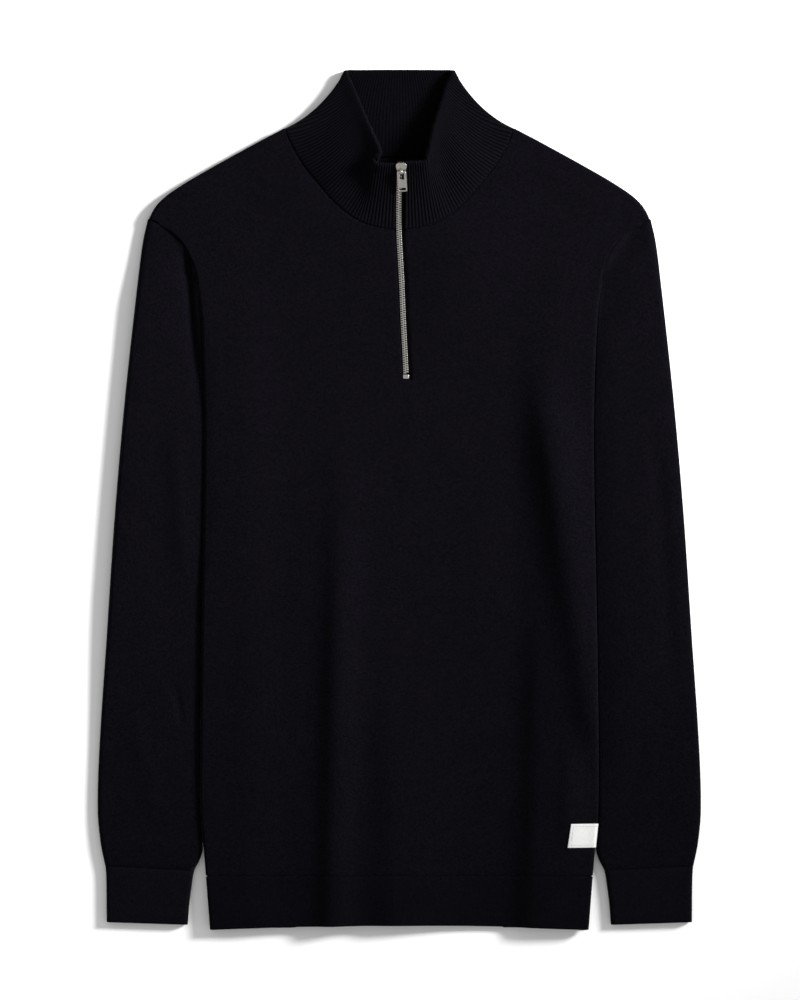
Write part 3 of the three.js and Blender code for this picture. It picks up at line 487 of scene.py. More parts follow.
def shell(name, grid, thickness, material, weave, closed=False, keep=None, bulge=0.3):
    """A closed wall of cloth under a grid of points, with rounded rims that stand out by bulge."""
    rows, columns = grid.shape[:2]
    quads = grid_quads(rows, columns, closed, keep)
    used, compact = np.unique(quads, return_inverse=True)
    points = grid.reshape(-1, 3)[used]
    weave = weave.reshape(-1, 3)[used]
    quads = compact.reshape(-1, 4)
    normals = vertex_normals(points, quads)
    edges = open_edges(quads, len(points))
    along = unit(points[edges[:, 1]] - points[edges[:, 0]])
    outward = np.zeros_like(points)
    for end in (0, 1):
        np.add.at(outward, edges[:, end], unit(np.cross(along, normals[edges[:, end]])))
    border = np.unique(edges)
    outward = unit(outward)
    levels = [points]
    places = np.arange(len(points))
    numbers = [places]
    count = len(points)
    for step in range(1, RIM_STEPS):
        turn = math.pi * step / RIM_STEPS
        moved = points[border] + outward[border] * bulge * math.sin(turn)
        moved = moved - normals[border] * thickness * (1 - math.cos(turn)) / 2
        levels.append(moved)
        place = np.zeros(len(points), int)
        place[border] = count + np.arange(len(border))
        numbers.append(place)
        count += len(border)
    levels.append(points - normals * thickness)
    numbers.append(count + places)
    faces = [quads, numbers[-1][quads[:, ::-1]]]
    for upper, lower in zip(numbers[:-1], numbers[1:]):
        a, b = edges[:, 0], edges[:, 1]
        faces.append(np.column_stack([upper[b], upper[a], lower[a], lower[b]]))
    all_points = np.concatenate(levels)
    all_points[:, 2] = np.maximum(all_points[:, 2], 0)
    all_weave = np.concatenate([weave, *[weave[border]] * (RIM_STEPS - 1), weave])
    return new_piece(name, all_points, np.concatenate(faces), material, all_weave)


def flat_weave(grid):
    """The knit's coordinates of a piece whose columns of stitches run along Y."""
    return np.stack([grid[..., 0], grid[..., 1], np.zeros(grid.shape[:2])], -1)


def joined(parts):
    """Several meshes of points and faces as one."""
    points, faces, count = [], [], 0
    for part_points, part_faces in parts:
        points.append(part_points)
        faces.extend([tuple(i + count for i in face) for face in part_faces])
        count += len(part_points)
    return np.concatenate(points), faces


# Front panel and front hem band

ROLL = 3.1
FULL_TURN = 240
CURL = 5
UNDER_SIDE = 4.6
UNDER_SHOULDER = 2.4
ROLL_STEPS = 14
HALF_COLUMNS = 72
SLIT_COLUMNS = 4
EDGE_TURN = [
    (-400, FULL_TURN), (184, FULL_TURN), (192, 150), (200, 50),
    (210, 24), (241, 24), (250, FULL_TURN), (330, FULL_TURN),
]
SEAM_BULGE = 0.8
WIDEST_SLANT = 2.1
# Rows below the slit, beside it, along the armhole and along the shoulder
LOW_ROWS = 124
SLIT_ROWS = 44
ARMHOLE_ROWS = 12
SHOULDER_ROWS = 42
NECK_CLEAR = 1.2


def turn_at(y):
    ys, turns = np.array(EDGE_TURN).T
    return np.interp(y, ys, turns)


def edge_roll(y, shrink=1.0):
    """The turn of the front's edge by height: where it starts, its reach, how far it goes and how low."""
    armhole_gap = np.where((y > UNDERARM_Y) & (y < ARMHOLE_TIP_Y), SEAM_GAP, 0)
    edge = body_edge(y) - armhole_gap
    slope = body_edge(y + 0.5) - body_edge(y - 0.5)
    reach = ROLL * np.minimum(np.hypot(1, slope), WIDEST_SLANT) * shrink
    turn = turn_at(y)
    start = edge - reach * np.sin(np.radians(np.minimum(turn, 90)))
    under = lerp(UNDER_SIDE, UNDER_SHOULDER, smoothstep(y, UNDERARM_Y, ARMHOLE_TIP_Y))
    return start, reach, turn, under


def roll_points(side, y, angle, shrink=1.0):
    """Points of the turned edge, with the angle measured from straight up."""
    start, reach, _, under = edge_roll(y, shrink)
    top = front_height(side * start, y)
    half = (top - under) / 2
    bend = np.radians(np.minimum(angle, 180))
    back = np.maximum(angle - 180, 0) / (FULL_TURN - 180) * CURL
    x = side * (start + reach * np.sin(bend) - back)
    return np.stack([x, y + 0 * x, top - half * (1 - np.cos(bend))], -1)


def lengths_along(points):
    steps = np.linalg.norm(np.diff(points, axis=0), axis=1)
    return np.concatenate([[0], np.cumsum(steps)])


def front_rows():
    """Each row's inner point for both halves, its outer height and how much its roll shrinks."""
    low = np.linspace(HEM_SEAM_Y + SEAM_GAP / 2 + SEAM_BULGE, SLIT_END_Y - SEAM_BULGE, LOW_ROWS)
    high = np.linspace(SLIT_END_Y - SEAM_BULGE, NECKLINE[0][1] - NECK_CLEAR, SLIT_ROWS)[1:]
    straight = np.concatenate([low, high])
    left = np.column_stack([zip_line(straight) - SLIT_LEFT - SEAM_BULGE, straight])
    right = np.column_stack([zip_line(straight) + SLIT_RIGHT + SEAM_BULGE, straight])
    outer_line = np.linspace(straight[-1], NECK_POINT[1] - 1, 400)
    outer_points = np.column_stack([body_edge(outer_line), outer_line])
    outer_length = lengths_along(outer_points)
    tip = np.interp(ARMHOLE_TIP_Y, outer_line, outer_length) / outer_length[-1]
    shares = np.concatenate([np.linspace(0, tip, ARMHOLE_ROWS)[1:], np.linspace(tip, 1, SHOULDER_ROWS)[1:]])
    outer_y = np.interp(shares * outer_length[-1], outer_length, outer_line)
    shrink = np.interp(shares, [0, 0.93, 1], [1, 1, 0.22])
    halves = []
    for half, side in ((left, -1), (right, 1)):
        from_x = abs(half[-1, 0])
        xs = np.linspace(from_x, NECK_POINT[0], 300)
        line = np.column_stack([xs, neckline(xs)])
        tangent = unit(np.gradient(line, axis=0))
        inset = line + np.column_stack([tangent[:, 1], -tangent[:, 0]]) * SEAM_BULGE
        inset[:, 0] = np.minimum(inset[:, 0], NECK_POINT[0] - NECK_CLEAR)
        length = lengths_along(inset)
        xs_at = np.interp(shares * length[-1], length, inset[:, 0])
        ys_at = np.interp(shares * length[-1], length, inset[:, 1])
        halves.append(np.concatenate([half, np.column_stack([side * xs_at, ys_at])]))
    outer = np.concatenate([straight, outer_y])
    return halves[0], halves[1], outer, np.concatenate([np.ones(len(straight)), shrink])


def rolled_grid(left, right, outer_y, shrink, drop=None):
    """A front grid: roll, left half, slit, right half, roll. The inner points lie beside the slit."""
    start, _, turn, _ = edge_roll(outer_y, shrink)
    shares = np.linspace(0, 1, HALF_COLUMNS)
    grid = []
    steps = np.arange(1, ROLL_STEPS + 1) / ROLL_STEPS
    for side, inner in ((-1, left), (1, right)):
        x = lerp(inner[:, :1], side * start[:, None], shares)
        y = lerp(inner[:, 1:], outer_y[:, None], shares)
        flat = np.stack([x, y, front_height(x, y)], -1)
        rolled = [roll_points(side, outer_y, turn * share, shrink) for share in steps]
        grid.append(np.concatenate([flat, np.stack(rolled, 1)], 1))
    across = np.linspace(0, 1, SLIT_COLUMNS + 2)[1:-1]
    x = lerp(left[:, :1], right[:, :1], across)
    y = lerp(left[:, 1:], right[:, 1:], across)
    middle = np.stack([x, y, front_height(x, y)], -1)
    whole = np.concatenate([grid[0][:, ::-1], middle, grid[1]], 1)
    if drop is not None:
        whole[..., 1] -= drop(whole[..., 0])
    return whole


def dress_front():
    left, right, outer_y, shrink = front_rows()
    grid = rolled_grid(left, right, outer_y, shrink)
    keep = np.ones((len(grid) - 1, grid.shape[1] - 1), bool)
    half = HALF_COLUMNS + ROLL_STEPS
    keep[LOW_ROWS - 1:, half - 1:half + SLIT_COLUMNS] = False
    piece = shell("front_body", grid, WALL, JERSEY, flat_weave(grid), keep=keep, bulge=SEAM_BULGE)
    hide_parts("front_panel")
    return piece


def dress_front_hem():
    ys = np.linspace(HEM_SEAM_Y - SEAM_GAP / 2 - SEAM_BULGE, HEM_END_Y + SEAM_BULGE, 20)[::-1]
    middle = np.column_stack([np.full(len(ys), zip_line(SLIT_END_Y)), ys])
    t = (HEM_SEAM_Y - ys) / (HEM_SEAM_Y - HEM_END_Y)
    start = edge_roll(ys)[0]

    def drop(x):
        return t[:, None] * HEM_CORNER_DROP * (np.abs(x) / start[:, None]) ** 2

    left = middle - [SLIT_LEFT, 0]
    right = middle + [SLIT_RIGHT, 0]
    grid = rolled_grid(left, right, ys, np.ones(len(ys)), drop)
    piece = shell("hem_band_front", grid, WALL, BAND, flat_weave(grid), bulge=SEAM_BULGE)
    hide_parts("hem_front")
    return piece


# Back panel and back hem band, flat on the surface

BACK_INSET = 1
BACK_CLEAR = 0.2
BACK_BULGE = 0.25
# How far the yoke's columns reach past the underarm
YOKE_REACH = [1.5, 4, 9, 16, 24, 32, 38]


def back_neck_y(x):
    share = np.minimum(np.abs(x) / NECK_POINT[0], 1)
    return NECK_POINT[1] - BACK_NECK_DROP * np.sqrt(1 - share * share)


def shoulder_y(x):
    """Height of the shoulder's edge at a distance from the middle."""
    ys = np.linspace(ARMHOLE_TIP_Y, NECK_POINT[1], 200)
    return np.interp(-np.abs(x), -shoulder(ys), ys)


def armhole_y(x):
    ys = np.linspace(UNDERARM_Y, ARMHOLE_TIP_Y, 100)
    return np.interp(np.abs(x), armhole(ys), ys)


def dress_back():
    """The body below the underarms, and above them a yoke between armholes, shoulders and neck."""
    edge = float(body_edge(UNDERARM_Y)) - BACK_INSET
    inner = np.linspace(-edge, edge, 71)
    outer = edge + np.array(YOKE_REACH)
    columns = np.concatenate([-outer[::-1], inner, outer])
    low_rows = np.linspace(HEM_SEAM_Y + SEAM_GAP / 2 + BACK_CLEAR, UNDERARM_Y - 0.3, 60)
    grid = []
    for y in low_rows:
        x = columns * (float(body_edge(y)) - BACK_INSET) / edge
        grid.append(np.stack([x, np.full(len(x), y), WALL + fold_lift(BACK_FOLDS, x, y)], -1))
    outside = np.abs(columns) > edge + 0.1
    bottom = np.where(outside, armhole_y(columns) + 1.2, UNDERARM_Y - 0.3)
    neck = back_neck_y(columns) - SEAM_GAP
    top = np.where(np.abs(columns) < NECK_POINT[0] - 1.5, neck, shoulder_y(columns) - BACK_INSET - 0.6)
    for t in np.linspace(0, 1, 26)[1:]:
        y = lerp(bottom, top, t)
        grid.append(np.stack([columns, y, WALL + fold_lift(BACK_FOLDS, columns, y)], -1))
    grid = np.array(grid, float)
    keep = np.ones((len(grid) - 1, len(columns) - 1), bool)
    side = len(outer)
    keep[:len(low_rows), :side] = False
    keep[:len(low_rows), -side:] = False
    piece = shell("back_body", grid, WALL, JERSEY, flat_weave(grid), keep=keep, bulge=BACK_BULGE)
    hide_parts("back_panel")
    return piece


def dress_back_hem():
    u = np.linspace(-1, 1, 61)
    low = HEM_END_Y + 0.3 - HEM_CORNER_DROP * u * u
    high = np.full(len(u), HEM_SEAM_Y - SEAM_GAP / 2 - BACK_CLEAR)
    grid = []
    for share in np.linspace(0, 1, 10):
        y = lerp(low, high, share)
        grid.append(np.stack([u * (body_edge(y) - BACK_INSET - 0.3), y, np.full(len(u), WALL + 0.0)], -1))
    grid = np.array(grid)
    piece = shell("hem_band_back", grid, WALL, BAND, flat_weave(grid), bulge=BACK_BULGE)
    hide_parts("hem_back")
    return piece


# The folded sides between front and back

# Distance in from the edge, and thickness there
LAYER_PROFILE = [(1, 0.7), (1.6, 1.6), (3.5, 2), (9.6, 2), (12.2, 9), (68, 9), (75, 1)]
LAYER_ENDS = (-376.2, 182)
LAYER_CLEAR = 0.8
LAYER_LEAST = 0.4


def dress_side_layers(side, name):
    bottom = WALL + SEAM_GAP
    ys = np.linspace(*LAYER_ENDS, 120)
    insets = np.concatenate([[1, 1.3, 1.6, 2.4, 3.5], np.linspace(5, 12, 6), np.linspace(14, 75, 26)])
    profile_in, profile_thick = np.array(LAYER_PROFILE).T
    thick = np.interp(insets, profile_in, profile_thick)
    x = body_edge(ys)[:, None] - insets
    reaches = (-6, -3, 0, 3, 6)
    above = np.min([front_height(side * x + reach, ys[:, None]) for reach in reaches], 0)
    room = above - WALL - LAYER_CLEAR - bottom
    height = np.maximum(np.minimum(thick, room), LAYER_LEAST)
    upper = np.stack([side * x, ys[:, None] + 0 * x, bottom + height], -1)
    lower = np.stack([side * x, ys[:, None] + 0 * x, np.full(x.shape, bottom + 0.0)], -1)
    if side > 0:
        upper, lower = upper[:, ::-1], lower[:, ::-1]
    rows, columns = x.shape
    ring = np.concatenate([upper, lower[:, ::-1]], 1)
    quads = grid_quads(rows, 2 * columns, closed=True)
    caps = []
    for row in (0, rows - 1):
        first, last = row * 2 * columns, (row + 1) * 2 * columns - 1
        for c in range(columns - 1):
            face = (first + c, first + c + 1, last - c - 1, last - c)
            caps.append((face[0], face[3], face[2], face[1]) if row == 0 else face)
    points = ring.reshape(-1, 3)
    faces = np.concatenate([quads, np.array(caps)])
    piece = new_piece(name, points, faces, JERSEY, flat_weave(ring).reshape(-1, 3))
    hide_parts("side_layers_left" if side > 0 else "side_layers_right")
    return piece


# Sleeves and cuffs, as flattened tubes

SLEEVE_HIGH = 7.8
ARMHOLE_HIGH = 9.8
SLEEVE_TURN = 4.2
ARMHOLE_BOW_SHARE = 0.22
# How far the upper face sinks towards the body, by side, and over what distance
DOME_DROP = {1: 3.4, -1: 1.3}
DOME_REACH = 26
# How far the sleeve's inner edge tucks under the body, and the heights over which that ends
TUCK_UNDER = 1.2
TUCK_END = (-306, -270)
TUCK_START = UNDERARM_Y + 5
TOP_POINTS = 40
BOTTOM_POINTS = 14
BEND_STEP = 12
SLEEVE_ENDS = {
    "inner_top": UNDERARM_Y, "inner_low": -326.1, "outer_top": ARMHOLE_TIP_Y + 0.2, "outer_low": -322.3,
}
CUFF_ENDS = {"inner_top": -326.4, "inner_low": -373.6, "outer_top": -322.6, "outer_low": -371.3}


def sleeve_ring(side, t, ends, bowed, folds):
    """One ring of a flattened tube and the knit's coordinate across it."""
    inner_y = lerp(ends["inner_top"], ends["inner_low"], t)
    outer_y = lerp(ends["outer_top"], ends["outer_low"], t)
    tuck = TUCK_UNDER * smoothstep(TUCK_START - inner_y, 0, 6) * smoothstep(inner_y, *TUCK_END)
    inner = np.array([sleeve_inner(inner_y) - tuck, inner_y])
    outer = np.array([sleeve_outer(outer_y), outer_y])
    length = np.hypot(*(outer - inner))
    bow = 1 - smoothstep(t, 0, ARMHOLE_BOW_SHARE) if bowed else 0
    high = lerp(SLEEVE_HIGH, ARMHOLE_HIGH, bow)
    top = np.linspace(SLEEVE_TURN, length - SLEEVE_TURN, TOP_POINTS)
    bottom = np.linspace(length - SLEEVE_TURN, SLEEVE_TURN, BOTTOM_POINTS)
    bends = np.radians(np.arange(BEND_STEP, 180, BEND_STEP))
    inset = SLEEVE_TURN * (1 - np.sin(bends))
    dome = DOME_DROP[side] * smoothstep(t, 0, 0.1) * (1 - smoothstep(t, 0.8, 0.97)) if bowed else 0
    crown = high - dome * np.maximum(1 - top / DOME_REACH, 0) ** 2
    level = (1 + np.cos(bends)) / 2
    along = np.concatenate([top, length - inset, bottom, inset[::-1]])
    z = np.concatenate([crown, crown[-1] * level, np.zeros(len(bottom)), crown[0] * level[::-1]])
    share = along / length
    x = lerp(inner[0], outer[0], share)
    y = lerp(inner[1], outer[1], share)
    seam_y = lerp(UNDERARM_Y, ARMHOLE_TIP_Y, np.clip(share, 0, 1))
    straight = lerp(SIDE_FOLD[-1][1], SHOULDER[0][1], np.clip(share, 0, 1))
    x = x + bow * (armhole(seam_y) + SEAM_GAP - straight)
    z = z + np.where(z > 0, fold_lift(folds, x, y) * z / high, 0)
    ring = np.column_stack([side * x, y, z])
    across = np.concatenate([[0], np.cumsum(np.linalg.norm(np.diff(ring, axis=0), axis=1))])
    down = -t * (ends["inner_top"] - ends["inner_low"])
    weave = np.column_stack([across, np.full(len(ring), down), 0 * across])
    return (ring, weave) if side > 0 else (ring[::-1], weave[::-1])


def flat_tube(name, side, shares, ends, bowed, folds, material, node):
    made = [sleeve_ring(side, t, ends, bowed, folds) for t in shares[::-1]]
    grid = np.array([ring for ring, _ in made])
    weave = np.array([row for _, row in made])
    piece = shell(name, grid, WALL, material, weave, closed=True, bulge=0.2)
    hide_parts(node)
    return piece


# Collar

def half_ring(front, back):
    front_at, front_length = front
    back_at, back_length = back
    front_end = 1 - COLLAR_TURN / front_length
    start = COLLAR_TURN / back_length
    fold_height = front_at(front_end)[2]

    def place(at):
        turn = (at - 1 + COLLAR_FOLD) / (2 * COLLAR_FOLD)
        before = front_at(np.clip(at / (1 - COLLAR_FOLD) * front_end, 0, front_end))
        after = back_at(np.clip(lerp(start, 1, (at - 1 - COLLAR_FOLD) / (1 - COLLAR_FOLD)), start, 1))
        bend = np.pi * np.clip(turn, 0, 1)
        away = COLLAR_TURN * (1 - np.sin(bend))
        in_front, behind = front_at(1 - away / front_length), back_at(away / back_length)
        folded = np.where((turn < 0.5)[..., None], in_front, behind)
        folded[..., 2] = fold_height * (1 + np.cos(bend)) / 2
        return np.where((turn <= 0)[..., None], before, np.where((turn >= 1)[..., None], after, folded))

    return place


ZIP_EDGE_CLEAR = 6


def collar_rings(side):
    top_zip = zip_line(236)
    zip_edge = SLIT_RIGHT + top_zip if side > 0 else SLIT_LEFT - top_zip
    seam = [(zip_edge, neckline(zip_edge))]
    seam += [row for row in NECKLINE if row[0] > zip_edge + ZIP_EDGE_CLEAR]
    raised = [(x, y + SEAM_GAP, front_height(side * x, y)) for x, y in seam]
    back_seam = []
    for angle in np.linspace(0, np.pi / 2, 9):
        x = NECK_POINT[0] * math.cos(angle)
        back_seam.append((x, back_neck_y(x), 0))
    top_rows = COLLAR_TOP_RIGHT if side > 0 else COLLAR_TOP_LEFT
    back_top = [(top_rows[-1][0], COLLAR_TOP_Y, 0), (0, COLLAR_TOP_Y, 0)]
    base = half_ring(path_through(raised), path_through(back_seam))
    top = half_ring(path_through(top_rows), path_through(back_top))
    return base, top


def even_along(ring):
    at = np.linspace(0, 2, 801)
    length = lengths_along(ring(at))
    return lambda share: np.interp(share * length[-1], length, at)


def collar_face(side):
    """Points of the collar's plain outer face, by shares of the half ring from the zip and of its height."""
    base, top = collar_rings(side)
    base_at, top_at = even_along(base), even_along(top)

    def face(share, height):
        at = lerp(base_at(share), top_at(share), height)
        low, high = base(at), top(at)
        middle = (low + high) / 2
        dip = np.where(at < 1, at * at, (2 - at) ** 2)
        middle[..., 0] += COLLAR_DIP[0] * dip
        middle[..., 1] += COLLAR_DIP[1] * dip
        middle[..., 2] = lerp(low[..., 2], high[..., 2], COLLAR_EARLY_RISE)
        t = np.asarray(height)[..., None]
        point = lerp(lerp(low, middle, t), lerp(middle, high, t), t)
        full = lerp(low[..., 2], high[..., 2], 1 - (1 - height) ** COLLAR_SIDE_POWER)
        point[..., 2] = lerp(point[..., 2], full, smoothstep(at, 0.3, 0.7))
        point[..., 0] *= side
        return point

    return face


COLLAR_COLUMNS_A_RIB = 6
COLLAR_HEIGHT_STEPS = 20
COLLAR_EDGE_STEPS = 9
COLLAR_EDGE_RADIUS = 2.2
RIB_ROUND = 0.8
RIB_SINK = 0.35
# How much of the relief the inner face has, and how much of the painted shade it gets
INNER_RELIEF = 0.45
INNER_FACE_SHADE_SHARE = 0.6


def dress_collar():
    columns = RIBS_A_SIDE * COLLAR_COLUMNS_A_RIB
    shares = np.linspace(0, 1, columns + 1)
    heights = np.concatenate([[0.006], np.linspace(0.03, 0.975, COLLAR_HEIGHT_STEPS)])
    right, left = collar_face(1), collar_face(-1)
    plain = []
    for height in heights:
        level = np.full(len(shares), height)
        plain.append(np.concatenate([right(shares, level), left(shares, level)[-2::-1]]))
    plain = np.array(plain)
    rows, count = plain.shape[:2]
    normal = vertex_normals(plain.reshape(-1, 3), grid_quads(rows, count)).reshape(plain.shape)
    ring = np.concatenate([shares, 2 - shares[-2::-1]])
    phase = ring * RIBS_A_SIDE * 2 * np.pi
    ridge = 0.5 - 0.5 * np.cos(phase)
    relief = RIB_HEIGHT * (ridge ** RIB_ROUND - RIB_SINK)
    up = smoothstep(heights, 0.0, 0.05)[:, None]
    swell = COLLAR_EDGE_RADIUS - COLLAR_WALL / 2
    puff = swell * smoothstep(heights, 0.86, 0.97)[:, None]
    outer = plain + normal * (relief * up * smoothstep(normal[..., 2], 0.1, 0.6) + puff)[..., None]
    inner = plain - normal * (COLLAR_WALL + relief * up * INNER_RELIEF + puff)[..., None]
    centre = (outer[-1] + inner[-1]) / 2
    reach = (outer[-1] - inner[-1]) / 2
    rise = unit(plain[-1] - plain[-2])
    radius = np.linalg.norm(reach, axis=-1, keepdims=True)
    turns = np.linspace(0, np.pi, COLLAR_EDGE_STEPS + 2)[1:-1]
    over = np.array([centre + reach * math.cos(t) + rise * radius * 0.95 * math.sin(t) for t in turns])
    grid = np.concatenate([outer, over, inner[::-1]])
    grid[..., 2] = np.maximum(grid[..., 2], 0)
    total = len(grid)
    quads = grid_quads(total, count)
    closing = [((total - 1) * count + c, (total - 1) * count + c + 1, c + 1, c) for c in range(count - 1)]
    for column, flip in ((0, True), (count - 1, False)):
        for r in range(total // 2):
            a, b = r * count + column, (r + 1) * count + column
            d, e = (total - 1 - r) * count + column, (total - 2 - r) * count + column
            if b == e:
                continue
            closing.append((b, a, d, e) if not flip else (a, b, e, d))
    run = lengths_along(grid[:, count // 4])
    # Share of painted shade: none on the outer face, rising over the top edge to the full share on the inner
    # face
    inner_shade_over = np.linspace(0, INNER_FACE_SHADE_SHARE, len(over))
    closed = np.concatenate([np.zeros(rows), inner_shade_over, np.full(rows, INNER_FACE_SHADE_SHARE)])
    weave = np.stack([
        np.broadcast_to(ring * RIBS_A_SIDE * RIB_PITCH, grid.shape[:2]),
        np.broadcast_to(run[:, None], grid.shape[:2]),
        np.broadcast_to(closed[:, None], grid.shape[:2]),
    ], -1)
    faces = np.concatenate([quads, np.array(closing)])
    piece = new_piece("collar_rib", grid.reshape(-1, 3), faces, RIB, weave.reshape(-1, 3))
    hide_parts("collar")
    return piece


# Zip

# Lower and upper end of the zip on the collar
COLLAR_ZIP_LOW = np.array([zip_line(236.4), 236.4, front_height(zip_line(236), 236)], float)
COLLAR_ZIP_HIGH = np.array([zip_line(294), 293.9, 30], float)


def zip_points(y):
    y = np.asarray(y, float)
    low, high = COLLAR_ZIP_LOW, COLLAR_ZIP_HIGH
    x = zip_line(y)
    flat = front_height(x, y)
    t = np.clip((y - low[1]) / (high[1] - low[1]), 0, 1.2)
    early = lerp(low[2], high[2], COLLAR_EARLY_RISE)
    raised = lerp(lerp(low[2], early, t), lerp(early, high[2], t), t)
    return np.stack([x, y, np.where(y <= low[1], flat, raised)], -1)


def zip_along(y):
    return unit(zip_points(np.asarray(y) + 0.5) - zip_points(np.asarray(y) - 0.5))


def zip_up(y):
    along = zip_along(y)
    return unit(np.stack([0 * along[..., 0], -along[..., 2], along[..., 1]], -1))


def dress_tape(side, name):
    ys = np.linspace(SLIT_END_Y - 6, TAPE_TOP_Y, 150)
    edge = (SLIT_RIGHT if side > 0 else SLIT_LEFT) - TAPE_CLEAR
    outside = lerp(TAPE_HALF, edge, smoothstep(ys, *TAPE_NARROWS))
    shares = np.linspace(0, 1, 9)
    across = side * lerp(0.15, outside[:, None], shares)
    if side < 0:
        across = across[:, ::-1]
    points = zip_points(ys)[:, None] - zip_up(ys)[:, None] * TAPE_DEPTH
    grid = points + np.stack([across, 0 * across, 0 * across], -1)
    weave = np.stack([across, np.broadcast_to(ys[:, None], across.shape), 0 * across], -1)
    piece = shell(name, grid, TAPE_THICK, TAPE, weave, bulge=0.1)
    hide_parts("zip_tape_left" if side > 0 else "zip_tape_right")
    return piece


# A tooth's outline seen from above: distance across from its root, and half its thickness along the zip
TOOTH_OUTLINE = [(0, 0.62), (0.9, 0.62), (1.5, 0.5), (2.1, 0.62), (2.5, 0.58), (2.66, 0.3)]
TOOTH_HIGH = 0.25
TOOTH_LOW = -2.0
TOOTH_ROUND = 0.22


def tooth_mesh():
    """One tooth with its root at x = 0 and its tip towards +x, rounded on top."""
    outline = [(x, -w) for x, w in TOOTH_OUTLINE] + [(x, w) for x, w in TOOTH_OUTLINE[::-1]]
    outline = np.array(outline)
    centre = outline.mean(0)
    count = len(outline)
    levels = [
        (TOOTH_LOW, 0.9), (TOOTH_LOW + TOOTH_ROUND, 1), (TOOTH_HIGH - TOOTH_ROUND, 1), (TOOTH_HIGH, 0.84),
    ]
    points = [np.column_stack([lerp(centre, outline, grow), np.full(count, z)]) for z, grow in levels]
    faces = []
    for level in range(len(levels) - 1):
        for i in range(count):
            a, b = level * count + i, level * count + (i + 1) % count
            faces.append((a, b, b + count, a + count))
    faces.append(tuple(range(count - 1, -1, -1)))
    faces.append(tuple(range((len(levels) - 1) * count, len(levels) * count)))
    return np.concatenate(points), faces


def dress_teeth(side, name):
    """Teeth of one side, half a pitch off from the other side's, each clamped on the tape's bead."""
    tooth, faces = tooth_mesh()
    first = STOP_Y + 3.4 + (TOOTH_PITCH / 2 if side > 0 else 0)
    parts = []
    for y in np.arange(first, SLIDER_Y - 3.2, TOOTH_PITCH):
        place, up, along = zip_points(y), zip_up(y), zip_along(y)
        lean = rng.normal(0, 0.015)
        across = unit(np.array([1.0, 0, 0]) + along * lean)
        local = tooth.copy()
        local[:, 0] = side * (TEETH_HALF - local[:, 0])
        points = place + local[:, :1] * across + local[:, 1:2] * along + local[:, 2:] * up
        turned = [face[::-1] for face in faces] if side > 0 else faces
        parts.append((points, turned))
    points, all_faces = joined(parts)
    piece = new_piece(name, points, all_faces, METAL)
    piece.data.shade_flat()
    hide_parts("zip_teeth_left" if side > 0 else "zip_teeth_right")
    return piece


def zip_frame(y, shift=0):
    """The frame of a metal piece on the zip, in metres: X across, Y up the zip, Z away from the cloth."""
    along = zip_along(y)
    turn = Matrix.Rotation(math.atan2(along[2], along[1]), 4, "X")
    return Matrix.Translation(Vector((zip_points(y) + [shift, 0, 0]) * MM)) @ turn


def rounded(outline, radius, steps=4):
    """An outline with each corner rounded by an arc."""
    points = np.array(outline, float)
    made = []
    for i, corner in enumerate(points):
        before, after = points[i - 1] - corner, points[(i + 1) % len(points)] - corner
        reach = min(radius, np.linalg.norm(before) * 0.45, np.linalg.norm(after) * 0.45)
        start, end = corner + unit(before) * reach, corner + unit(after) * reach
        for t in np.linspace(0, 1, steps + 1):
            made.append(lerp(lerp(start, corner, t), lerp(corner, end, t), t))
    return np.array(made)


def solid_plate(name, outline, low, high, frame_matrix, bevel, holes=()):
    """A plate with rounded edges in a metal piece's frame, made as a filled curve and then a mesh."""
    shape = bpy.data.curves.new(name, "CURVE")
    shape.dimensions = "2D"
    shape.fill_mode = "BOTH"
    shape.extrude = (high - low) / 2 * MM - bevel * MM
    shape.bevel_depth = bevel * MM
    shape.bevel_resolution = 2
    shape.offset = -bevel * MM
    for ring in [outline, *holes]:
        line = shape.splines.new("POLY")
        line.points.add(len(ring) - 1)
        for point, (x, y) in zip(line.points, ring):
            point.co = (x * MM, y * MM, 0, 1)
        line.use_cyclic_u = True
    holder = bpy.data.objects.new(name, shape)
    bpy.context.scene.collection.objects.link(holder)
    mesh = bpy.data.meshes.new_from_object(holder)
    bpy.data.objects.remove(holder)
    mesh.transform(Matrix.Translation((0, 0, (high + low) / 2 * MM)))
    mesh.transform(frame_matrix)
    return mesh


def metal_piece(name, meshes, node, body="sweater"):
    """Several meshes as one metal piece that stands for a node."""
    points, faces, count = [], [], 0
    for mesh in meshes:
        found = np.empty(len(mesh.vertices) * 3)
        mesh.vertices.foreach_get("co", found)
        points.append(found.reshape(-1, 3) / MM)
        faces.extend([tuple(i + count for i in face.vertices) for face in mesh.polygons])
        count += len(mesh.vertices)
    piece = new_piece(name, np.concatenate(points), faces, METAL, body=body)
    piece.data.set_sharp_from_angle(angle=math.radians(50))
    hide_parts(node)
    return piece


PLATE_LOW = 1.1
PLATE_HIGH = 2.3
BRIDGE_WIDTH = 2.4
BRIDGE_RADIUS = 2.5
EYE_RADIUS = 1.5
SLIDER_OUTLINE = [
    (-3, -4.8), (3, -4.8), (3.9, -1.5), (4.9, 1.6), (4.4, 4.2), (2, 4.9),
    (-2, 4.9), (-4.4, 4.2), (-4.9, 1.6), (-3.9, -1.5),
]
WEDGE_OUTLINE = [(-2, 0.6), (2, 0.6), (3.4, 4.3), (-3.4, 4.3)]
RAIL_OUTLINE = [(2.9, -4.4), (3.5, -1.4), (4.5, 1.8), (4.0, 3.9), (3.2, 3.7), (2.4, -4.4)]


def arc(centre, radius, start, end, steps):
    angles = np.radians(np.linspace(start, end, steps))
    return np.column_stack([centre[0] + radius * np.cos(angles), centre[1] + radius * np.sin(angles)])


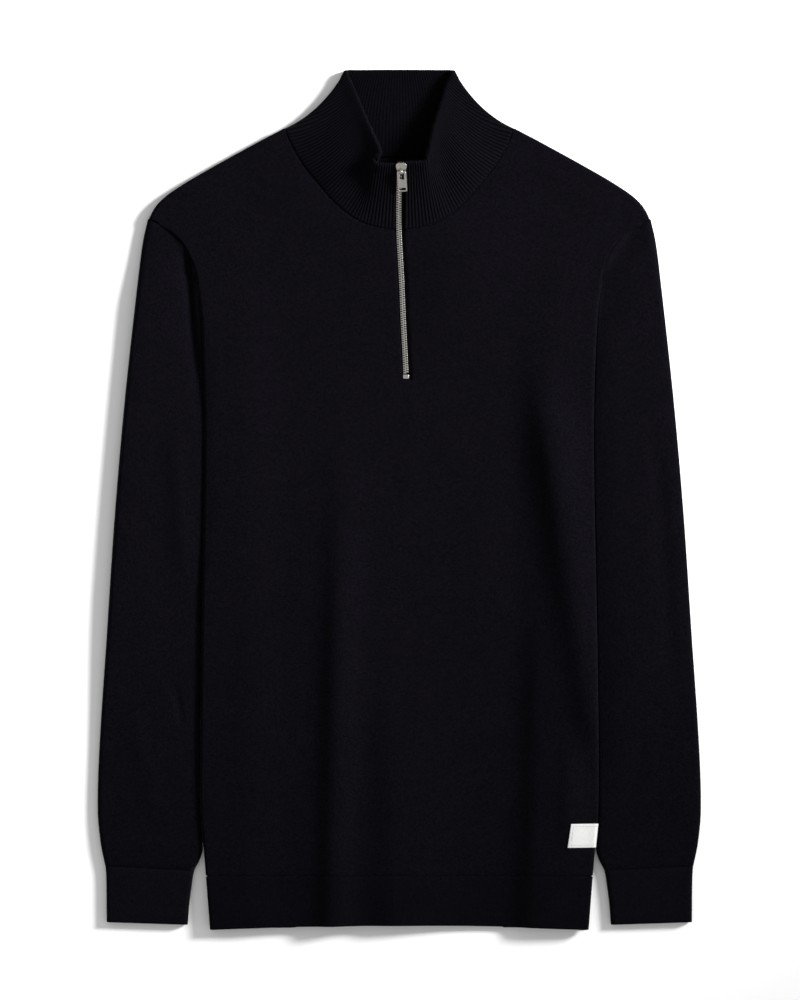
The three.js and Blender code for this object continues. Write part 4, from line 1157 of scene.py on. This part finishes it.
def dress_slider():
    place = zip_frame(SLIDER_Y, SLIDER_SHIFT)
    top = solid_plate("top", rounded(SLIDER_OUTLINE, 1.2), PLATE_LOW, PLATE_HIGH, place, 0.28)
    wedge = solid_plate("wedge", rounded(WEDGE_OUTLINE, 0.8), -2.4, PLATE_LOW + 0.2, place, 0.2)
    y, z = PULL_PIVOT
    foot = PLATE_HIGH - 0.25
    over = arc((y, z), BRIDGE_RADIUS, 0, 180, 16)
    arch = np.concatenate([[(y + BRIDGE_RADIUS, foot)], over, [(y - BRIDGE_RADIUS, foot)]])
    eye = arc((y, z), EYE_RADIUS, 0, 337.5, 16)
    standing = Matrix(((0, 0, 1, 0), (1, 0, 0, 0), (0, 1, 0, 0), (0, 0, 0, 1)))
    bridge = solid_plate("bridge", arch, -BRIDGE_WIDTH / 2, BRIDGE_WIDTH / 2, place @ standing, 0.3, [eye])
    rails = []
    for side in (-1, 1):
        rail = [(side * x, y_at) for x, y_at in RAIL_OUTLINE[::side]]
        top_of_rail = PLATE_HIGH + 0.25
        rails.append(solid_plate("rail", rounded(rail, 0.3), PLATE_HIGH - 0.3, top_of_rail, place, 0.12))
    return metal_piece("zip_slider_body", [top, wedge, bridge, *rails], "zip_slider")


def dress_pull():
    pivot = Matrix.Translation((0, PULL_PIVOT[0] * MM, PULL_PIVOT[1] * MM))
    place = zip_frame(SLIDER_Y, SLIDER_SHIFT + PULL_SHIFT) @ pivot
    place = place @ Matrix.Rotation(math.radians(PULL_DROOP), 4, "X")
    place = place @ Matrix.Rotation(math.radians(PULL_SKEW), 4, "Z")
    half, top, low = 4.1, 0.8, -19
    outline = rounded([(-half, top), (-half, low), (half, low), (half, top)], 1.2, 6)
    slot = rounded([(-1.9, -0.75), (1.9, -0.75), (1.9, -7.4), (-1.9, -7.4)], 0.9)
    hole = rounded([(-2.9, -15.4), (2.9, -15.4), (2.9, -17.6), (-2.9, -17.6)], 0.4)
    tab = solid_plate("tab", outline, -0.6, 0.6, place, 0.22, [slot, hole])
    return metal_piece("zip_pull_tab", [tab], "zip_pull", body="pull")


def dress_stop():
    place = zip_frame(STOP_Y)
    outline = rounded([(-2.6, -1.8), (2.6, -1.8), (2.6, 1.8), (-2.6, 1.8)], 0.6)
    box = solid_plate("box", outline, -1.8, 0.6, place, 0.3)
    return metal_piece("zip_bottom_stop", [box], "zip_stop")


# Side label

LABEL_LOW = -305.3
LABEL_HIGH = -284.6
LABEL_LEFT = 147.6
LABEL_LEAN = 3
LABEL_THICK = 0.8
LABEL_TURN = 62
# The share across the label from which it turns with the side, its cut size, and its stitches' margins
LABEL_BEND = 0.8
LABEL_SIZE = (24, 21)
LABEL_MARGINS = (0.09, 0.97, 0.1)


def label_point(u, v):
    """A point on the front's surface under the label, by shares across and up it."""
    y = lerp(LABEL_LOW, LABEL_HIGH, v)
    lean = LABEL_LEAN * v - LABEL_LEAN
    start = edge_roll(y)[0]
    lying = lerp(LABEL_LEFT + LABEL_LEAN + lean, start, np.clip(u / LABEL_BEND, 0, 1))
    flat = np.stack([lying, y + 0 * lying, front_height(lying, y)], -1)
    turned = roll_points(1, y, np.clip((u - LABEL_BEND) / (1 - LABEL_BEND), 0, 1) * LABEL_TURN)
    return np.where((u > LABEL_BEND)[..., None], turned, flat)


def label_grid(lift):
    v, u = np.meshgrid(np.linspace(0, 1, 22), np.linspace(0, 1, 34), indexing="ij")
    grid = label_point(u, v)
    normal = vertex_normals(grid.reshape(-1, 3), grid_quads(*grid.shape[:2])).reshape(grid.shape)
    return grid + normal * lift, u, v


def dress_label():
    grid, u, v = label_grid(SEAM_GAP + LABEL_THICK)
    weave = np.stack([u * LABEL_SIZE[0], v * LABEL_SIZE[1], 0 * u], -1)
    piece = shell("side_label_patch", grid, LABEL_THICK, LABEL, weave, bulge=0.15)
    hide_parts("side_label")
    return piece


# Sewing

# A stitch's rings between its two tips: their size, and their share of the length from its middle
BEAD_RINGS = [(0.8, -0.3), (1.0, 0.0), (0.8, 0.3)]
BEAD_SIDES = 6
# Stitches: pitch, length, width and height
LINKING_STITCH = (1.4, 1.15, 0.8, 0.7)
LABEL_STITCH = (1.5, 1.2, 0.42, 0.35)
STITCH_DEPTH = 0.4
FILLER_DEPTH = 1.3
FILLER_RADIUS = 0.6


def bead(place, along, up, length, width, height):
    """A short stitch that lies along one direction, as points and faces."""
    side = np.cross(along, up)
    points, faces = [], []
    around = BEAD_SIDES
    for grow, t in BEAD_RINGS:
        for k in range(around):
            turn = 2 * math.pi * k / around
            offset = side * (width / 2 * grow * math.cos(turn)) + up * (height / 2 * grow * math.sin(turn))
            points.append(place + along * (t * length) + offset)
    points += [place - along * length / 2, place + along * length / 2]
    rings = len(BEAD_RINGS)
    for ring in range(rings - 1):
        for k in range(around):
            a, b = ring * around + k, ring * around + (k + 1) % around
            faces.append((a, a + around, b + around, b))
    for k in range(around):
        faces.append((rings * around, k, (k + 1) % around))
        last = (rings - 1) * around
        faces.append((rings * around + 1, last + (k + 1) % around, last + k))
    return np.array(points), faces


def between(at, run, rows):
    """The row at one length along a run, mixed from its neighbours."""
    return np.array([np.interp(at, run, rows[:, i]) for i in range(3)])


def stitched(name, lines, material, slot, pitch, length, width, height, slant=0.0):
    """Rows of stitches along lines of points, each with its upward directions."""
    parts = []
    for points, ups in lines:
        run = lengths_along(points)
        for at in np.arange(pitch / 2, run[-1], pitch):
            place = between(at, run, points)
            ahead = between(min(at + 0.5, run[-1]), run, points)
            behind = between(max(at - 0.5, 0), run, points)
            up = unit(between(at, run, ups))
            along = unit(ahead - behind)
            turned = unit(along + np.cross(along, up) * (slant + rng.normal(0, 0.08)))
            parts.append(bead(place, turned, up, length * rng.uniform(0.9, 1.1), width, height))
    points, faces = joined(parts)
    return new_piece(name, points, faces, material, points)


def cord_mesh(points, radius, sides=6):
    """A thin closed tube along points, as points and faces."""
    along = unit(np.gradient(points, axis=0))
    up = np.array([0.0, 0, 1])
    side = unit(np.cross(along, up))
    lift = unit(np.cross(side, along))
    made = []
    for k in range(sides):
        turn = 2 * math.pi * k / sides
        made.append(points + side * (radius * math.cos(turn)) + lift * (radius * math.sin(turn)))
    grid = np.stack(made, 1)
    rows = len(points)
    faces = [tuple(quad) for quad in grid_quads(rows, sides, closed=True)[:, ::-1]]
    faces.append(tuple(range(sides)))
    faces.append(tuple((rows - 1) * sides + k for k in range(sides - 1, -1, -1)))
    return grid.reshape(-1, 3), faces


def hem_seam_line():
    reach = edge_roll(np.array(HEM_SEAM_Y + 0.0))[0] * 0.985
    x = np.linspace(-reach, reach, 240)
    return np.column_stack([x, np.full(len(x), HEM_SEAM_Y), front_height(x, HEM_SEAM_Y)])


def cuff_seam_line(side, folds):
    """Along the upper face from the inner to the outer edge, midway between the sleeve and its cuff."""
    upper, _ = sleeve_ring(side, 1.0, SLEEVE_ENDS, True, folds)
    lower, _ = sleeve_ring(side, 0.0, CUFF_ENDS, False, folds)
    line = (upper + lower) / 2
    return line[line[:, 2] > SLEEVE_HIGH * 0.75]


def collar_seam_line(side):
    base, _ = collar_rings(side)
    at = even_along(base)(np.linspace(0.005, 0.5, 260))
    at = at[at < 0.93]
    line = base(at)
    line[:, 0] *= side
    line[:, 1] -= SEAM_GAP / 2
    return line


def armhole_line(side):
    y = np.linspace(UNDERARM_Y - 2, ARMHOLE_TIP_Y - 0.3, 110)
    x = body_edge(y)
    return np.column_stack([side * x, y, front_height(side * x, y) - 1.2])


def back_neck_line():
    x = np.linspace(-NECK_POINT[0] + 8, NECK_POINT[0] - 8, 160)
    return np.column_stack([x, back_neck_y(x), np.full(len(x), WALL + 0.6)])


def ups_of(line):
    return np.tile([0.0, 0, 1], (len(line), 1))


def sunk(line, depth):
    return line - [0, 0, depth]


def dress_seams():
    folds = {1: LEFT_SLEEVE_FOLDS, -1: RIGHT_SLEEVE_FOLDS}
    seams = [hem_seam_line()]
    for side in (1, -1):
        seams += [cuff_seam_line(side, folds[side]), collar_seam_line(side)]
    rows = [(sunk(line, STITCH_DEPTH), ups_of(line)) for line in seams]
    stitched("linking_stitches", rows, THREAD, "jersey", *LINKING_STITCH, slant=0.5)
    fillers = [*seams, armhole_line(1), armhole_line(-1), back_neck_line()]
    points, faces = joined([cord_mesh(sunk(line, FILLER_DEPTH), FILLER_RADIUS) for line in fillers])
    new_piece("seam_threads", points, faces, SEAM_THREAD, points)


def dress_label_stitching():
    left, right, low = LABEL_MARGINS
    corners = [(left, low), (right, low), (right, 1 - low), (left, 1 - low)]
    ring = rounded(corners, 0.06, 3)
    ring = np.concatenate([ring, ring[:1]])
    dense = np.concatenate([np.linspace(a, b, 12, endpoint=False) for a, b in zip(ring[:-1], ring[1:])])
    u, v = dense.T

    def moved(across, up):
        return label_point(np.clip(u + across, 0, 1), np.clip(v + up, 0, 1))

    above = moved(0, 0.01) - moved(0, -0.01)
    beside = moved(0.01, 0) - moved(-0.01, 0)
    ups = unit(np.cross(beside, above))
    line = label_point(u, v) + ups * (SEAM_GAP + LABEL_THICK + 0.05)
    stitched("label_stitches", [(line, ups)], LABEL_THREAD, "label", *LABEL_STITCH)


# Pieces

front = dress_front()
front_hem = dress_front_hem()
back = dress_back()
back_hem = dress_back_hem()
layers = [dress_side_layers(side, f"side_folds_{name}") for name, side in (("left", 1), ("right", -1))]
SLEEVE_SHARES = np.concatenate([np.linspace(0, 0.1, 16, endpoint=False), np.linspace(0.1, 1, 130)])
CUFF_SHARES = np.linspace(0, 1, 16)
for name, side, folds in (("left", 1, LEFT_SLEEVE_FOLDS), ("right", -1, RIGHT_SLEEVE_FOLDS)):
    sleeve = flat_tube(
        f"sleeve_tube_{name}", side, SLEEVE_SHARES, SLEEVE_ENDS, True, folds,
        JERSEY, f"sleeve_{name}",
    )
    cuff = flat_tube(
        f"cuff_band_{name}", side, CUFF_SHARES, CUFF_ENDS, False, folds,
        CUFF, f"cuff_{name}",
    )
collar = dress_collar()
tapes = [dress_tape(side, f"tape_{name}") for name, side in (("left", 1), ("right", -1))]
for name, side in (("left", 1), ("right", -1)):
    dress_teeth(side, f"teeth_{name}")
dress_slider()
dress_pull()
dress_stop()
label = dress_label()
dress_seams()
dress_label_stitching()


# Floor, light and camera

FLOOR_SIZE = 6.0
CAMERA_LENS = 200
CAMERA_SENSOR = 36
VIEW_HEIGHT = 0.88
VIEW_MIDDLE = (0.0006, -0.0004)
WORLD_STRENGTH = 0.575
KEY_POWER = 15.7
KEY_PLACE = (2.44, 1.03, 1.4)
KEY_AIM = (-0.2, 0.18, 0)
KEY_SIZE = 0.9
KEY_SPREAD = 39.5


def add_floor():
    mesh = bpy.data.meshes.new("floor")
    half = FLOOR_SIZE / 2
    corners = [(-half, -half, 0), (half, -half, 0), (half, half, 0), (-half, half, 0)]
    mesh.from_pydata(corners, [], [(0, 1, 2, 3)])
    shader = Shader("pale_floor", Roughness=1.0, Specular_IOR_Level=0.0)
    shader.shader.inputs["Base Color"].default_value = (0.9, 0.9, 0.9, 1)
    mesh.materials.append(shader.material)
    floor = bpy.data.objects.new("floor", mesh)
    bpy.context.scene.collection.objects.link(floor)


def add_light(name, place, aim, size, spread, power):
    light = bpy.data.lights.new(name, "AREA")
    light.shape = "DISK"
    light.size = size
    light.spread = math.radians(spread)
    light.energy = power
    holder = bpy.data.objects.new(name, light)
    holder.location = place
    holder.rotation_mode = "QUATERNION"
    holder.rotation_quaternion = (Vector(aim) - Vector(place)).to_track_quat("-Z", "Y")
    bpy.context.scene.collection.objects.link(holder)


def add_world():
    world = bpy.data.worlds.new("studio")
    world.use_nodes = True
    background = world.node_tree.nodes["Background"]
    background.inputs["Color"].default_value = (1, 1, 1, 1)
    background.inputs["Strength"].default_value = WORLD_STRENGTH
    bpy.context.scene.world = world


def add_camera():
    data = bpy.data.cameras.new("camera")
    data.lens = CAMERA_LENS
    data.sensor_width = CAMERA_SENSOR
    distance = VIEW_HEIGHT * CAMERA_LENS / CAMERA_SENSOR
    data.clip_end = 100
    camera = bpy.data.objects.new("camera", data)
    camera.location = (*VIEW_MIDDLE, distance)
    bpy.context.scene.collection.objects.link(camera)
    bpy.context.scene.camera = camera


add_floor()
add_light("key", KEY_PLACE, KEY_AIM, KEY_SIZE, KEY_SPREAD, KEY_POWER)
add_world()
add_camera()
bpy.context.scene.view_settings.view_transform = "Standard"
